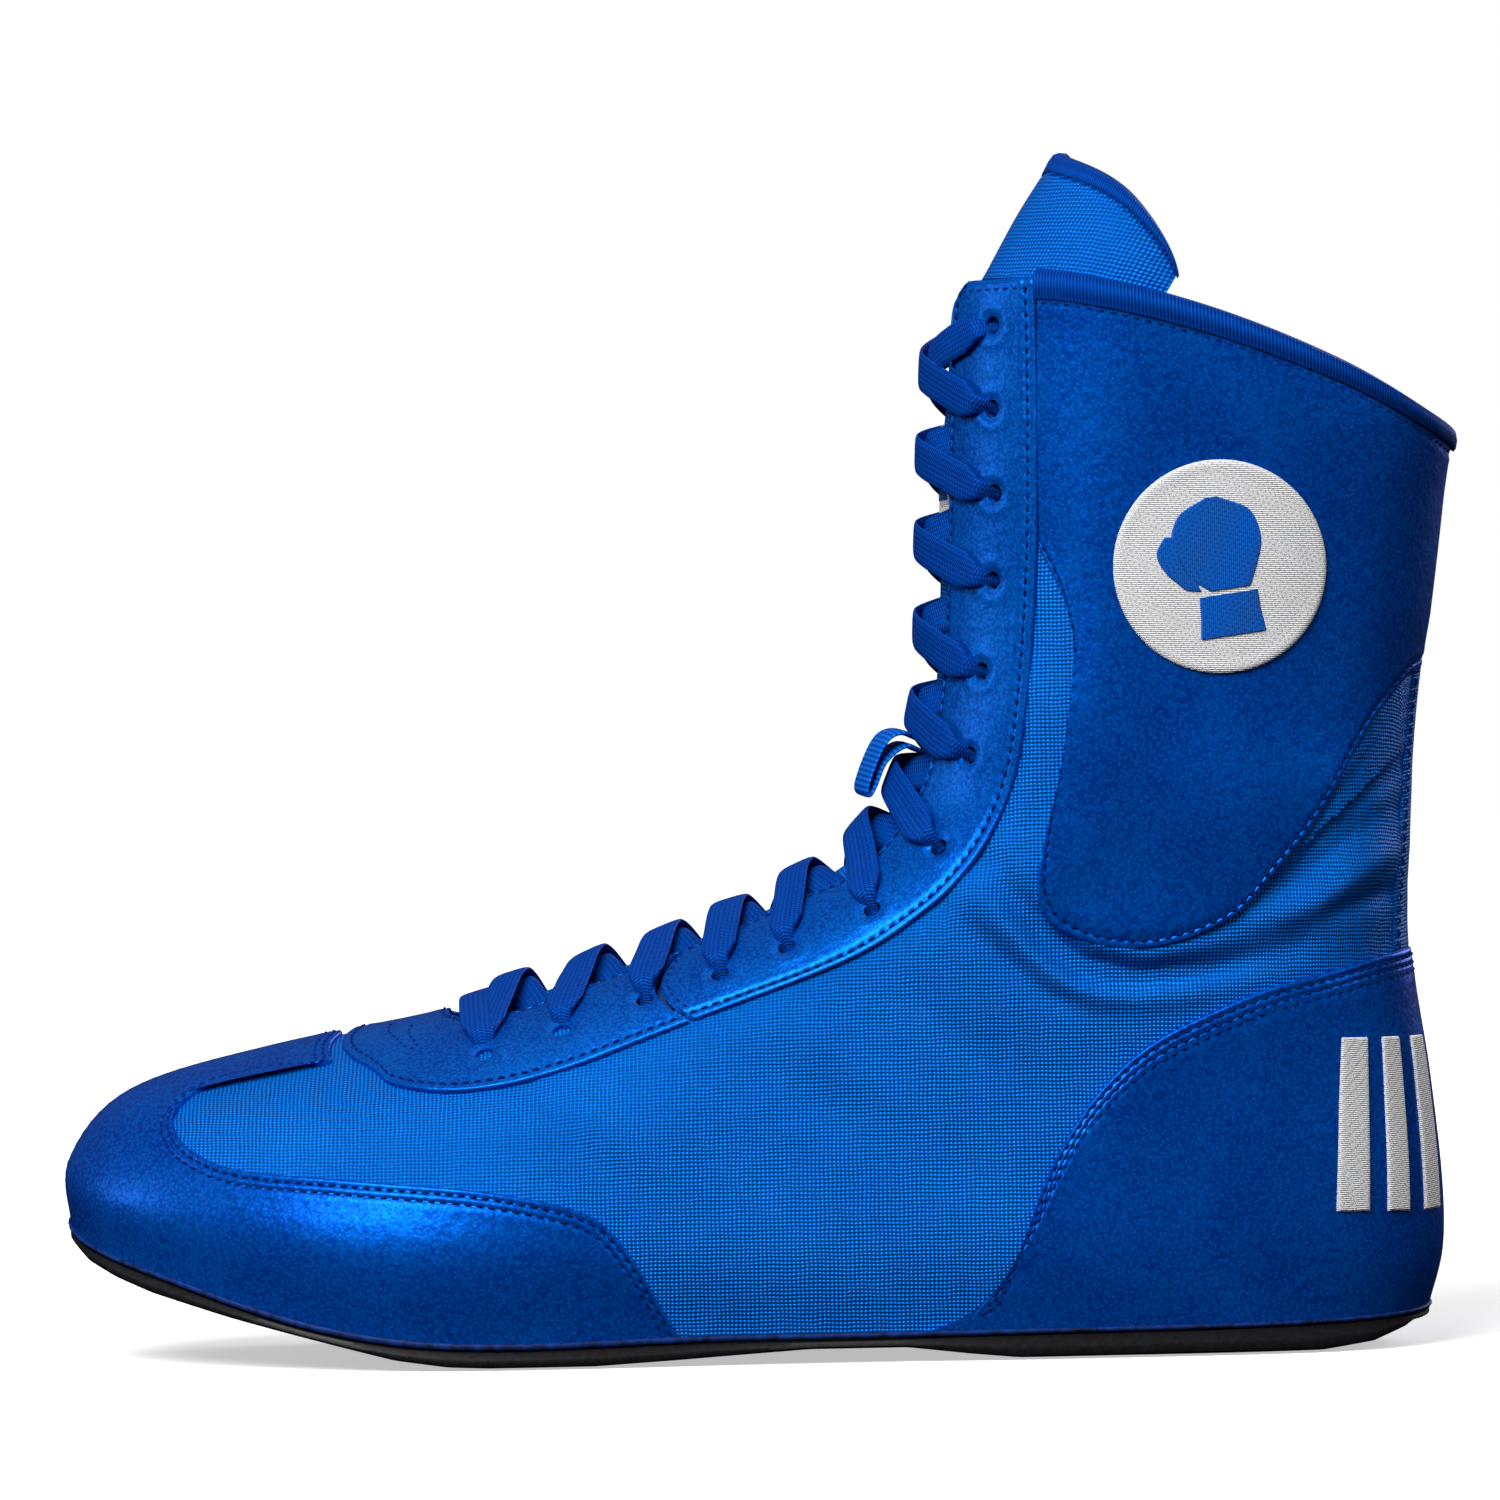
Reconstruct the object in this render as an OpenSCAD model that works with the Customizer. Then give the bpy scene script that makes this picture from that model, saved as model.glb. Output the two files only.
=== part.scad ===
// Left lace-up boxing boot: thin rubber sole, mesh upper, leather overlays, tall soft shaft.
// Toe towards -X, heel towards +X, outer (lateral) side towards -Y, ground at z = 0.

/* [Boot] */
// Length of the boot from toe to collar, which sets its overall scale
boot_length = 294; // [255:3:320]

/* [Layers] */
// Thickness of the leather overlays
leather_t = 1.3; // [0.8:0.1:1.4]
// Thickness of the mesh fabric
mesh_t = 1; // [0.6:0.1:1.1]
// Thickness of the lining
lining_t = 1; // [0.6:0.1:1.1]
// Air left between two layers lying on each other
layer_gap = 0.5; // [0.4:0.05:0.6]
// Thickness of the padded tongue
tongue_t = 2; // [1.2:0.1:2.4]
// Thickness of the footbed
footbed_t = 3; // [2:0.5:4]

/* [Lacing] */
// Width of the flat lace
lace_w = 8; // [6:0.5:9]
// Thickness of the flat lace
lace_t = 1.1; // [0.8:0.1:1.2]
// Radius of a punched eyelet
eyelet_r = 1.8; // [1.4:0.1:2.2]

/* [Badges] */
// Radius of the round emblem on the cuff
emblem_r = 22; // [16:1:24]
// Height of the bars sewn on the heel
heel_bar_h = 36; // [24:2:40]

/* [Joints] */
// Forward bend that the ankle gap leaves room for, in degrees
ankle_forward = 13; // [8:1:13]
// Backward bend that the ankle gap leaves room for, in degrees
ankle_back = 11; // [6:1:11]

/* [Hidden] */

$fn = 24;

// Offset of the drawn shape, which puts the origin under the middle of the boot's box
centre = [-3, -3.4, 0];
natural_length = 294;

// The upper is a stack of closed rings, numbered from the sole's edge (0) to the collar (LAST).
// Each ring runs from a front point, up the toe, instep and shin, to a back point up the heel.
LAST = 11;
FRONT = [
    [-143, 28.5], [-143.5, 42], [-131, 56], [-100, 65], [-60, 73], [-20, 84.5],
    [12, 98], [30, 113], [38, 135], [40, 163], [41, 193], [42.5, 223]
];
BACK = [
    [142, 8], [145, 20], [145, 36], [143, 56], [140.5, 72], [139.2, 84],
    [139.2, 94], [140, 109], [141.2, 129], [144.2, 152], [147.2, 171], [149.5, 189]
];
// Half width of each ring at every 30 degrees round it, from its front to its back
HALF = [
    [58, 57, 54, 39, 37, 46, 52],
    [63, 60, 57, 41, 39, 48, 56],
    [49, 52, 51, 38, 38, 48, 55],
    [33, 38, 41, 35, 37, 46, 50],
    [31, 34, 36, 34, 37, 45, 49],
    [32, 34, 36, 34, 37, 44, 47],
    [33, 35, 37, 34, 37, 43, 46],
    [34, 36, 37, 34.5, 37, 41, 43],
    [36, 37, 38, 34, 36, 39, 40],
    [38, 38, 38, 35, 36.5, 38.5, 39],
    [39, 39, 39, 36, 37.5, 39.5, 40],
    [40, 40, 40, 37, 38.5, 40, 41]
];
// How far the sole's edge dips under its ring's chord, every 30 degrees, and how the dip fades
DIP = [0, -8.5, -18.5, -13.5, -8, -3.5, 0];
DIP_FADE = [1, 0.62, 0.3, 0.1, 0, 0, 0, 0, 0, 0, 0, 0];
// How far the collar arches over its ring's chord, every 30 degrees, and how the arch grows
ARCH = [0, 2.5, 7, 8.5, 6.5, 2.5, 0];
ARCH_GROWTH = [0, 0, 0, 0, 0, 0, 0, 0.08, 0.2, 0.4, 0.7, 1];
// Shift of each ring's front towards the big toe, broad and local to the crest
INFLARE = [9, 9, 8, 7, 5, 3.5, 2, 1, 0, 0, 0, 0];
CREST = [0, 2, 7, 9, 6, 3, 1, 0, 0, 0, 0, 0];
waist_shift = 2.5;

// Ankle hinge, as seen from the side
hinge = [78, 80];
hinge_clear = 0.8;
foot_front_angle = 165.5;
foot_back_angle = 4;

// Offsets of the layers from the outer surface
mesh_top = -(leather_t + layer_gap);
mesh_low = mesh_top - mesh_t;
lining_top = mesh_low - layer_gap - 0.3;
lining_low = lining_top - lining_t;
backing_top = -(leather_t + 0.4);
backing_low = backing_top - 0.8;
stiffener_top = mesh_top - 0.3;
stiffener_low = mesh_low - 0.1;
tongue_side = lining_low - 0.7;
tongue_edge_angle = 17;
lace_over = lace_t / 2 + 0.6;
lace_under = (backing_low + tongue_side) / 2;
badge_low = 0.25;
badge_top = 0.85;

// Thickness of the rubber under the sole's edge, and the bottom of the sole seen from the side
sole_lip = 0.4;
BOTTOM = [
    [-145, 28], [-143, 25.5], [-138, 21], [-132, 18], [-124, 15], [-107, 10.2], [-90, 6], [-73, 1.8],
    [-62, 0.3], [-54, 0], [-32, 0], [-15, 0.9], [12, 2.6], [32, 2.6], [45, 1],
    [55, 0], [118, 0], [129, 1.4], [136, 4], [140, 6.5], [145, 9]
];

// Eyelets from the collar down, as seen from the side
EYELETS = [
    [52.6, 212.8], [52.2, 195.5], [52.5, 178], [51.8, 160], [49.3, 141.3], [46.5, 124],
    [39.9, 105.2], [26, 92.7], [8.2, 85.3], [-5.6, 79.8], [-21.2, 74.6], [-38.5, 68.4], [-54.5, 63.8]
];
top_eyelet = 0;
last_eyelet = 12;
first_throat_eyelet = 10;

// ---- Curves ----

function knot(tb, i) =
    i < 0 ? 2 * tb[0] - tb[1] : i >= len(tb) ? 2 * tb[len(tb) - 1] - tb[len(tb) - 2] : tb[i];

// Smooth curve through the entries of a table, at position u counted in entries
function curve(tb, u) =
    let (i = max(0, min(len(tb) - 2, floor(u))), f = u - i,
         a = knot(tb, i - 1), b = tb[i], c = tb[i + 1], d = knot(tb, i + 2))
    b + 0.5 * f * ((c - a) + f * ((2 * a - 5 * b + 4 * c - d) + f * (3 * (b - c) + d - a)));

function smooth(pts, n) = [for (i = [0:n]) curve(pts, i * (len(pts) - 1) / n)];

// ---- Outer surface: ring t and angle p, with p = 0 at the front, 180 at the back, negative lateral ----

function fold(p) = acos(cos(p));

function bow(t, p) =
    let (q = fold(p) / 30)
    curve(DIP, q) * curve(DIP_FADE, t) + curve(ARCH, q) * curve(ARCH_GROWTH, t);

function mid_y(t, p) =
    let (k = (1 + cos(p)) / 2)
    curve(INFLARE, t) * k * k + curve(CREST, t) * pow(k, 8)
    - waist_shift * curve(DIP_FADE, t) * pow(sin(p), 2);

function ring(t, p) =
    let (c = (1 - cos(p)) / 2, a = curve(FRONT, t), b = curve(BACK, t), q = a + (b - a) * c,
         half = curve(curve(HALF, t), fold(p) / 30))
    [q.x, mid_y(t, p) + half * sin(p), q.y + bow(t, p)];

function outward(t, p) =
    let (n = cross(ring(t + 0.02, p) - ring(t - 0.02, p), ring(t, p + 0.8) - ring(t, p - 0.8)))
    n / norm(n);

function skin(t, p, d) = ring(t, p) + outward(t, p) * d;

function share(t, x) =
    let (a = curve(FRONT, t), b = curve(BACK, t))
    max(0, min(1, (x - a.x) / (b.x - a.x)));

function height(t, x) =
    let (c = share(t, x), a = curve(FRONT, t), b = curve(BACK, t))
    a.y + (b.y - a.y) * c + bow(t, acos(1 - 2 * c));

// Ring and angle of the surface point that is seen from the side at x, z
function locate(q, lo = 0, hi = LAST, k = 15) =
    let (t = (lo + hi) / 2)
    k == 0 ? [t, acos(1 - 2 * share(t, q.x))]
    : height(t, q.x) > q.y ? locate(q, lo, t, k - 1) : locate(q, t, hi, k - 1);

// side is 1 on the medial side and -1 on the lateral one
function seam(pts, side) = [for (q = pts) let (u = locate(q)) [u[0], side * u[1]]];
// The same for a piece that wraps round the heel: angles run on past 180 on the lateral side
function back_seam(pts, side) =
    [for (q = pts) let (u = locate(q)) [u[0], side > 0 ? u[1] : 360 - u[1]]];
function reversed(v) = [for (i = [len(v) - 1:-1:0]) v[i]];
function mirrored(v) = [for (q = reversed(v)) [q[0], -q[1]]];

// Points along a line from the ankle hinge, at the given distances
function arm(angle, lift, reach) =
    [for (r = reach) hinge + [r * cos(angle), lift + r * sin(angle)]];
function foot_front(reach) = arm(foot_front_angle, -hinge_clear, reach);
function foot_back(reach) = arm(foot_back_angle, -hinge_clear, reach);
function shaft_front(reach) = arm(foot_front_angle - ankle_forward, hinge_clear, reach);
function shaft_back(reach) = arm(foot_back_angle + ankle_back, hinge_clear, reach);

// ---- Solids from grids of points ----

// Closed sheet between an outer and an inner grid of n + 1 by m + 1 points
module sheet(outer, inner, n, m, closed = false) {
    rows = closed ? n : n + 1;
    count = rows * (m + 1);
    o = function (i, j) (i % rows) * (m + 1) + j;
    edge = cross(outer[o(1, 0)] - outer[0], outer[o(0, 1)] - outer[0]);
    flip = edge * (outer[0] - inner[0]) > 0;
    caps = closed ? [] : [
        for (j = [0:m - 1]) each [
            [o(0, j), o(0, j + 1), count + o(0, j + 1)],
            [o(0, j), count + o(0, j + 1), count + o(0, j)],
            [o(n, j + 1), o(n, j), count + o(n, j)],
            [o(n, j + 1), count + o(n, j), count + o(n, j + 1)]
        ]
    ];
    faces = concat(caps, [
        for (i = [0:n - 1]) each concat([
            for (j = [0:m - 1]) each [
                [o(i, j), o(i + 1, j), o(i + 1, j + 1)],
                [o(i, j), o(i + 1, j + 1), o(i, j + 1)],
                [count + o(i, j), count + o(i + 1, j + 1), count + o(i + 1, j)],
                [count + o(i, j), count + o(i, j + 1), count + o(i + 1, j + 1)]
            ]
        ], [
            [o(i + 1, 0), o(i, 0), count + o(i, 0)],
            [o(i + 1, 0), count + o(i, 0), count + o(i + 1, 0)],
            [o(i, m), o(i + 1, m), count + o(i + 1, m)],
            [o(i, m), count + o(i + 1, m), count + o(i, m)]
        ])
    ]);
    polyhedron(concat(outer, inner), flip ? [for (f = faces) reversed(f)] : faces, convexity = 6);
}

// Layer between offsets top and low, ruled between two seams of equal length.
// An ease above 1 draws the grid closer together near seam a.
module panel(a, b, m, top, low, closed = false, ease = 1, rise = function (t, p) 0) {
    n = len(a) - 1;
    rows = closed ? n - 1 : n;
    grid = [for (i = [0:rows]) for (j = [0:m]) a[i] + (b[i] - a[i]) * pow(j / m, ease)];
    base = [for (q = grid) ring(q[0], q[1])];
    out = [for (q = grid) outward(q[0], q[1])];
    extra = [for (q = grid) rise(q[0], q[1])];
    sheet([for (i = [0:len(grid) - 1]) base[i] + out[i] * (top + extra[i])],
          [for (i = [0:len(grid) - 1]) base[i] + out[i] * (low + extra[i])],
          n, m, closed);
}

// Strip of the given half width along a path of [t, p, offset]
module strip(path, half, thick) {
    last = len(path) - 1;
    mid = [for (q = path) skin(q[0], q[1], q[2])];
    up = [for (q = path) outward(q[0], q[1])];
    side = [
        for (i = [0:last])
        let (run = mid[min(last, i + 1)] - mid[max(0, i - 1)], s = cross(up[i], run))
        s / norm(s)
    ];
    sheet([for (i = [0:last]) for (j = [-1, 1]) mid[i] + side[i] * half * j + up[i] * thick / 2],
          [for (i = [0:last]) for (j = [-1, 1]) mid[i] + side[i] * half * j - up[i] * thick / 2],
          last, 1);
}

module place() {
    scale(boot_length / natural_length) translate(centre) children();
}

// ---- Sole ----

function bottom_z(x) = lookup(x, BOTTOM);

// Flat-across plate under or over the sole's edge: inset from it, between heights low and top above it.
// low is undef for the outsole, which goes down to the ground.
module plate(inset, low, top, stations = 26) {
    first = inset > 0 ? 16 : 7;
    middle = (FRONT[0].x + BACK[0].x) / 2;
    shrink = 1 - 2 * inset / (BACK[0].x - FRONT[0].x);
    step_angle = function (i)
        i == 0 ? 0 : i == stations ? 180 : first + (180 - 2 * first) * (i - 1) / (stations - 2);
    point = function (i, v, above)
        let (p = step_angle(i), e = ring(0, p), c = mid_y(0, p), half = abs(e.y - c) - inset,
             x = middle + (e.x - middle) * shrink)
        [x, c + v * half,
         is_undef(above) ? min(bottom_z(x), e.z - 2) : e.z + above];
    layer = function (above) concat(
        [point(0, 0, above)],
        [for (i = [1:stations - 1]) each [point(i, -1, above), point(i, 0, above), point(i, 1, above)]],
        [point(stations, 0, above)]
    );
    lower = layer(low);
    upper = layer(top);
    count = len(upper);
    id = function (i, v) i == 0 ? 0 : i == stations ? count - 1 : 3 * i - 1 + v;
    tops = [
        for (i = [0:stations - 1]) each concat(
            i < stations - 1
                ? [[id(i, -1), id(i + 1, 0), id(i + 1, -1)], [id(i, 1), id(i + 1, 1), id(i + 1, 0)]] : [],
            i > 0 ? [[id(i, -1), id(i, 0), id(i + 1, 0)], [id(i, 0), id(i, 1), id(i + 1, 0)]] : []
        )
    ];
    loop = concat([for (i = [0:stations]) id(i, -1)], [for (i = [stations - 1:-1:1]) id(i, 1)]);
    walls = [
        for (k = [0:len(loop) - 1])
        let (a = loop[k], b = loop[(k + 1) % len(loop)])
        each [[a, b, count + b], [a, count + b, count + a]]
    ];
    polyhedron(concat(upper, lower),
               concat(tops, [for (f = tops) [for (q = reversed(f)) q + count]], walls), convexity = 4);
}

module outsole() {
    color("#101114") place() plate(-0.4, undef, -sole_lip);
}

module welt_piping() {
    steps = 48;
    low = [for (i = [0:steps]) [0.02, i * 360 / steps]];
    high = [for (i = [0:steps]) [0.11, i * 360 / steps]];
    color("#04205c") place() panel(low, high, 1, 1.3, 0.45, closed = true);
}

module insole_board() {
    color("#b9a27c") place() plate(6.4, 0.4, 2);
}

module footbed() {
    color("#1b2a4a") place() plate(7, 2.3, 2.3 + footbed_t);
}

// ---- Foot part of the upper ----

// Front points of the rings where seams cross the crest of the instep
function crest(x, lo = 0, hi = LAST, k = 15) =
    let (t = (lo + hi) / 2)
    k == 0 ? [t, 0] : curve(FRONT, t).x > x ? crest(x, lo, t, k - 1) : crest(x, t, hi, k - 1);

// Edge of the mesh window on top of the toe, from the outer side's sole edge round its front to the throat
TOE_EDGE = [
    [-15, 6], [-19, 13], [-24, 22], [-31, 30], [-42, 34], [-60, 37], [-84, 39], [-106, 41],
    [-116, 45], [-120, 50], [-118, 54.5], [-110, 59], [-98, 61.5], [-87, 63]
];
// Rear edge of the toe cap on the inner side, from the crest down to the sole's edge
TOE_EDGE_INNER = [[-84.5, 60.5], [-79, 55], [-68, 49], [-56, 42], [-43, 33], [-31, 23], [-22, 13], [-17, 6]];

function sole_edge(from, to, n) = [for (i = [0:n]) [0.03, from + (to - from) * i / n]];
function angle_at(x) = acos(1 - 2 * share(0, x));

module toe_cap() {
    n = 38;
    top = smooth(concat(seam(TOE_EDGE, -1), [crest(-85.8)], seam(TOE_EDGE_INNER, 1)), n);
    feet = smooth([
        for (a = [-angle_at(-17), -angle_at(-22), -angle_at(-28), -angle_at(-35), -angle_at(-48),
                  -angle_at(-66), -angle_at(-88), -angle_at(-108), -angle_at(-122), -angle_at(-132), -18,
                  -6, 6, 17, angle_at(-132), angle_at(-122), angle_at(-109), angle_at(-92),
                  angle_at(-74), angle_at(-56), angle_at(-36), angle_at(-19)]) [0.03, a]
    ], n);
    color("#0b46ad") place() panel(top, feet, 8, 0, -leather_t);
}

module toe_puff() {
    n = 18;
    high = smooth([[0.85, -50], [1, -40], [1.15, -31], [1.3, -23], [1.45, -15], [1.75, -6],
                   [1.8, 6], [1.85, 22], [1.7, 38], [1.3, 52]], n);
    low = [for (q = high) [0.35, q[1]]];
    color("#d8cfba") place() panel(high, low, 4, stiffener_top - 0.6, stiffener_low - 0.3);
}

// Top edge of the heel counter, from its lower front corner to the back seam
COUNTER_EDGE = [
    [51.5, 9], [54, 17], [57, 26], [60, 34], [65, 44], [72, 54], [82.5, 63.5], [94, 69.5],
    [108, 75], [122, 78.5], [132, 81], [139, 82.5]
];

module heel_counter() {
    n = 38;
    top = smooth(concat(back_seam(COUNTER_EDGE, 1), reversed(back_seam(COUNTER_EDGE, -1))), n);
    foot = smooth([for (a = [104, 107, 111, 116, 121, 127, 134, 142, 151, 161, 172]) [0.03, a]], n / 2);
    feet = concat(foot, [for (i = [n / 2 - 1:-1:0]) [0.03, 360 - foot[i][1]]]);
    even = [for (i = [0:n]) i == n / 2 ? [0.03, 180] : feet[i]];
    color("#0a3fa2") place() panel(top, even, 4, 0, -leather_t);
}

module heel_stiffener() {
    n = 16;
    high = smooth([[1.1, 122], [2.2, 130], [3.3, 145], [3.9, 165], [4.1, 180],
                   [3.9, 195], [3.3, 215], [2.2, 230], [1.1, 238]], n);
    low = [for (q = high) [0.35, q[1]]];
    color("#d8cfba") place() panel(high, low, 6, stiffener_top - 0.4, stiffener_low - 0.2);
}

// Straight bars sewn round the heel, three on each side, with a fine line under them
module heel_bars() {
    bars = [[146, 151.5], [155, 160], [164.5, 171]];
    base = [127, 28.5];
    color("#d9dce0") place() for (b = bars) for (side = [-1, 1]) {
        low = locate(base)[0];
        high = locate(base + [0, heel_bar_h])[0];
        a = side > 0 ? b[0] : 360 - b[1];
        c = side > 0 ? b[1] : 360 - b[0];
        panel(smooth([[low, a], [high, a]], 6), smooth([[low, c], [high, c]], 6), 2,
              badge_top, badge_low);
    }
}

MESH_LOW_LATERAL = [
    [-124, 49], [-121, 43], [-112, 37], [-96, 34], [-72, 32], [-48, 29], [-35, 24], [-28, 15], [-22, 6],
    [0, 5.5], [30, 6], [58, 7], [63, 24], [71, 40], [84, 56], [104, 67], [121, 71.5], [132, 73.8], [139.5, 75]
];
MESH_HIGH_LATERAL = [
    [-122, 53], [-118, 57.5], [-108, 61.5], [-96, 63.5], [-84, 64.8], [-77, 62.8], [-66, 60.6], [-55, 60.2],
    [-36, 64.6], [-11, 73.4], [10, 81.5], [24, 87.8], [31, 91.2]
];

module vamp_mesh_lateral() {
    n = 40;
    low = smooth(seam(MESH_LOW_LATERAL, -1), n);
    rest = concat(foot_front([34, 18, 5, 0]), foot_back([6, 26, 44, 54, 60.7]));
    high = smooth(seam(concat(MESH_HIGH_LATERAL, rest), -1), n);
    color("#0f63da") place() panel(high, low, 6, mesh_top, mesh_low, ease = 1.4);
}

MESH_LOW_MEDIAL = [
    [-82, 55.5], [-68, 44.5], [-52, 34], [-37, 24], [-28, 14], [-22, 6],
    [0, 5.5], [30, 6], [58, 7], [63, 24], [71, 40], [84, 56], [104, 67], [121, 71.5], [132, 73.8], [139.5, 75]
];
MESH_HIGH_MEDIAL = [
    [-77, 62.4], [-66, 60.6], [-55, 60.2], [-36, 64.6], [-11, 73.4], [10, 81.5], [24, 87.8], [31, 91.2]
];

module vamp_mesh_medial() {
    n = 34;
    low = smooth(seam(MESH_LOW_MEDIAL, 1), n);
    rest = concat(foot_front([34, 18, 5, 0]), foot_back([6, 26, 44, 54, 60.7]));
    high = smooth(seam(concat(MESH_HIGH_MEDIAL, rest), 1), n);
    color("#0f63da") place() panel(high, low, 6, mesh_top, mesh_low, ease = 1.4);
}

// Upper edge of the foot's lining on one side, from the crest of the vamp to the back seam
LINING_EDGE = [[-75, 63.5], [-66, 61.2], [-55, 60.6], [-36, 65], [-11, 73.6], [10, 81.8], [24, 88], [31, 91.2]];

module lining_foot() {
    n = 50;
    rest = concat(foot_front([34, 18, 5, 0]), foot_back([6, 26, 46]));
    half = concat([crest(-78)], seam(concat(LINING_EDGE, rest), 1), [[4.9, 178.5]]);
    high = smooth(concat(mirrored([for (i = [1:len(half) - 1]) half[i]]), half), n);
    low = [for (q = high) [0.25, q[1]]];
    color("#16305f") place() panel(high, low, 6, lining_top, lining_low, ease = 1.4);
}

// Throat piece: a U of leather round the front end of the lacing, with the last eyelets
THROAT_INNER = [[-13.5, 84.3], [-33, 77.2], [-47, 72.4], [-57, 70.6], [-61, 71.2]];
THROAT_OUTER = [[-12, 70], [-35, 61.6], [-57, 56.8], [-73, 58], [-81, 62.5]];

function throat(edge, nose, n) =
    smooth(concat(seam(edge, -1), [crest(nose)], reversed(seam(edge, 1))), n);

module eyelet_holes(first, last, side, r) {
    for (i = [first:last]) {
        u = seam([EYELETS[i]], side)[0];
        n = outward(u[0], u[1]);
        translate(skin(u[0], u[1], -4))
            rotate([0, acos(n.z), atan2(n.y, n.x)]) cylinder(r = r, h = 8, $fn = 8);
    }
}

module throat_facing() {
    n = 26;
    color("#0b4fc0") place() difference() {
        panel(throat(THROAT_INNER, -62.5, n), throat(THROAT_OUTER, -83, n), 3, 0, -leather_t);
        for (side = [-1, 1]) eyelet_holes(first_throat_eyelet, last_eyelet, side, eyelet_r);
    }
}

module throat_backing() {
    n = 24;
    inner = [[-14, 83.6], [-33, 76.6], [-47, 71.8], [-57, 70], [-61.6, 70.6]];
    outer = [[-13.5, 74.8], [-34.5, 66.8], [-54, 62], [-64, 62.8], [-72, 65.6]];
    color("#10357c") place() difference() {
        panel(throat(inner, -63.5, n), throat(outer, -75, n), 3, backing_top, backing_low);
        for (side = [-1, 1]) eyelet_holes(first_throat_eyelet, last_eyelet, side, eyelet_r);
    }
}

// ---- Ankle band: the soft cloth that folds and stretches when the ankle bends ----

module ankle_band(top, low) {
    front_reach = [12, 20, 28, 36, 42];
    back_reach = [12, 24, 36, 48];
    for (side = [-1, 1])
        panel(smooth(seam(arm(foot_front_angle - 1, 0, front_reach), side), 6),
              smooth(seam(arm(foot_front_angle - ankle_forward + 1, 0, front_reach), side), 6),
              2, top, low);
    under = arm(foot_back_angle + 1, 0, back_reach);
    over = arm(foot_back_angle + ankle_back - 1, 0, back_reach);
    panel(smooth(concat(back_seam(under, 1), [[5.02, 180]], reversed(back_seam(under, -1))), 14),
          smooth(concat(back_seam(over, 1), [[6.05, 180]], reversed(back_seam(over, -1))), 14),
          2, top, low);
}

module ankle_mesh() {
    color("#0d5cd0") place() ankle_band(mesh_top, mesh_low);
}

module ankle_lining() {
    color("#16305f") place() ankle_band(lining_top, lining_low);
}

// ---- Shaft part of the upper ----

module shaft_mesh(side) {
    n = 24;
    low = smooth(seam(concat(shaft_front([38, 20, 6, 0]), shaft_back([6, 20, 42, 60])), side), n);
    high = smooth(seam([[57, 167], [66, 162], [76, 157], [84, 154], [92, 152], [102, 150], [120, 148],
                        [141.5, 147]], side), n);
    panel(low, high, 5, mesh_top, mesh_low);
}

module shaft_mesh_lateral() {
    color("#0f63da") place() shaft_mesh(-1);
}

module shaft_mesh_medial() {
    color("#0f63da") place() shaft_mesh(1);
}

module lining_shaft() {
    n = 30;
    arch = concat(shaft_front([38, 20, 6, 0]), shaft_back([6, 20, 42]));
    low = smooth(concat(back_seam(arch, 1), [[6.35, 180]], reversed(back_seam(arch, -1))), n);
    front_angle = 46;
    high = [for (i = [0:n]) [10.88, front_angle + 2 * (180 - front_angle) * i / n]];
    color("#16305f") place() panel(low, high, 7, lining_top, lining_low);
}

CUFF_LOW = [
    [61.6, 166], [66.5, 155], [68.5, 143], [66.5, 127.5], [62.5, 110], [60, 97], [63, 88.8], [74, 84.2],
    [86, 84.2], [98.5, 88.8], [110, 100], [126.5, 124], [137, 137.5], [141.8, 141]
];
CUFF_TOP_X = [61.8, 64, 66.5, 69, 72, 76, 80.5, 86.5, 93, 101, 112, 128, 141, 148.8];

module cuff(side) {
    n = 24;
    high = [for (x = CUFF_TOP_X) [10.88, side * acos(1 - 2 * share(10.88, x))]];
    panel(smooth(seam(CUFF_LOW, side), n), smooth(high, n), 7, 0, -leather_t);
}

module cuff_lateral() {
    color("#0b44ac") place() cuff(-1);
}

module cuff_medial() {
    color("#0b44ac") place() cuff(1);
}

module collar_binding() {
    n = 32;
    low = [for (i = [0:n]) [10.9, 50 + 260 * i / n]];
    high = [for (q = low) [11, q[1]]];
    color("#06358c") place() panel(low, high, 1, 0.8, lining_low - 0.3);
}

module backstay() {
    n = 8;
    low = smooth([[6.05, 163], [7.2, 163], [8.35, 164]], n);
    high = smooth([[6.05, 197], [7.2, 197], [8.35, 196]], n);
    color("#0c52c4") place() panel(low, high, 4, -0.3, mesh_top + 0.4);
}

// Side facings with the eyelets, from the throat piece up to the collar
FACING_INNER = [
    [-12.3, 84.7], [-2, 88.9], [12, 95.2], [20, 98.6], [27, 103.6], [32, 109.5], [36.5, 117], [39.3, 125],
    [41.5, 140], [43, 165], [43.8, 192], [45, 216], [47.5, 222.4]
];
FACING_OUTER = [
    [-11.2, 70.4], [13, 79], [27, 85.3], [37, 92.2], [45.5, 100.3], [51, 108.2], [54.8, 116.5], [57.2, 126],
    [59, 140], [60.8, 164], [61.4, 192], [61.3, 216], [61, 222.2]
];
BACKING_OUTER = [
    [-12, 75.2], [10, 83.3], [23, 89.6], [33, 95.6], [40, 102.4], [46, 110], [50, 118], [52.4, 127],
    [54, 141], [55.8, 163], [56.2, 192], [56.2, 215], [56, 221]
];

module facing(outer, top, low, side) {
    n = 30;
    difference() {
        panel(smooth(seam(FACING_INNER, side), n), smooth(seam(outer, side), n), 3, top, low);
        eyelet_holes(top_eyelet, first_throat_eyelet - 1, side, eyelet_r);
    }
}

module facing_lateral() {
    color("#0b4fc0") place() facing(FACING_OUTER, 0, -leather_t, -1);
}

module facing_medial() {
    color("#0b4fc0") place() facing(FACING_OUTER, 0, -leather_t, 1);
}

module facing_backing_lateral() {
    color("#10357c") place() facing(BACKING_OUTER, backing_top, backing_low, -1);
}

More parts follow.
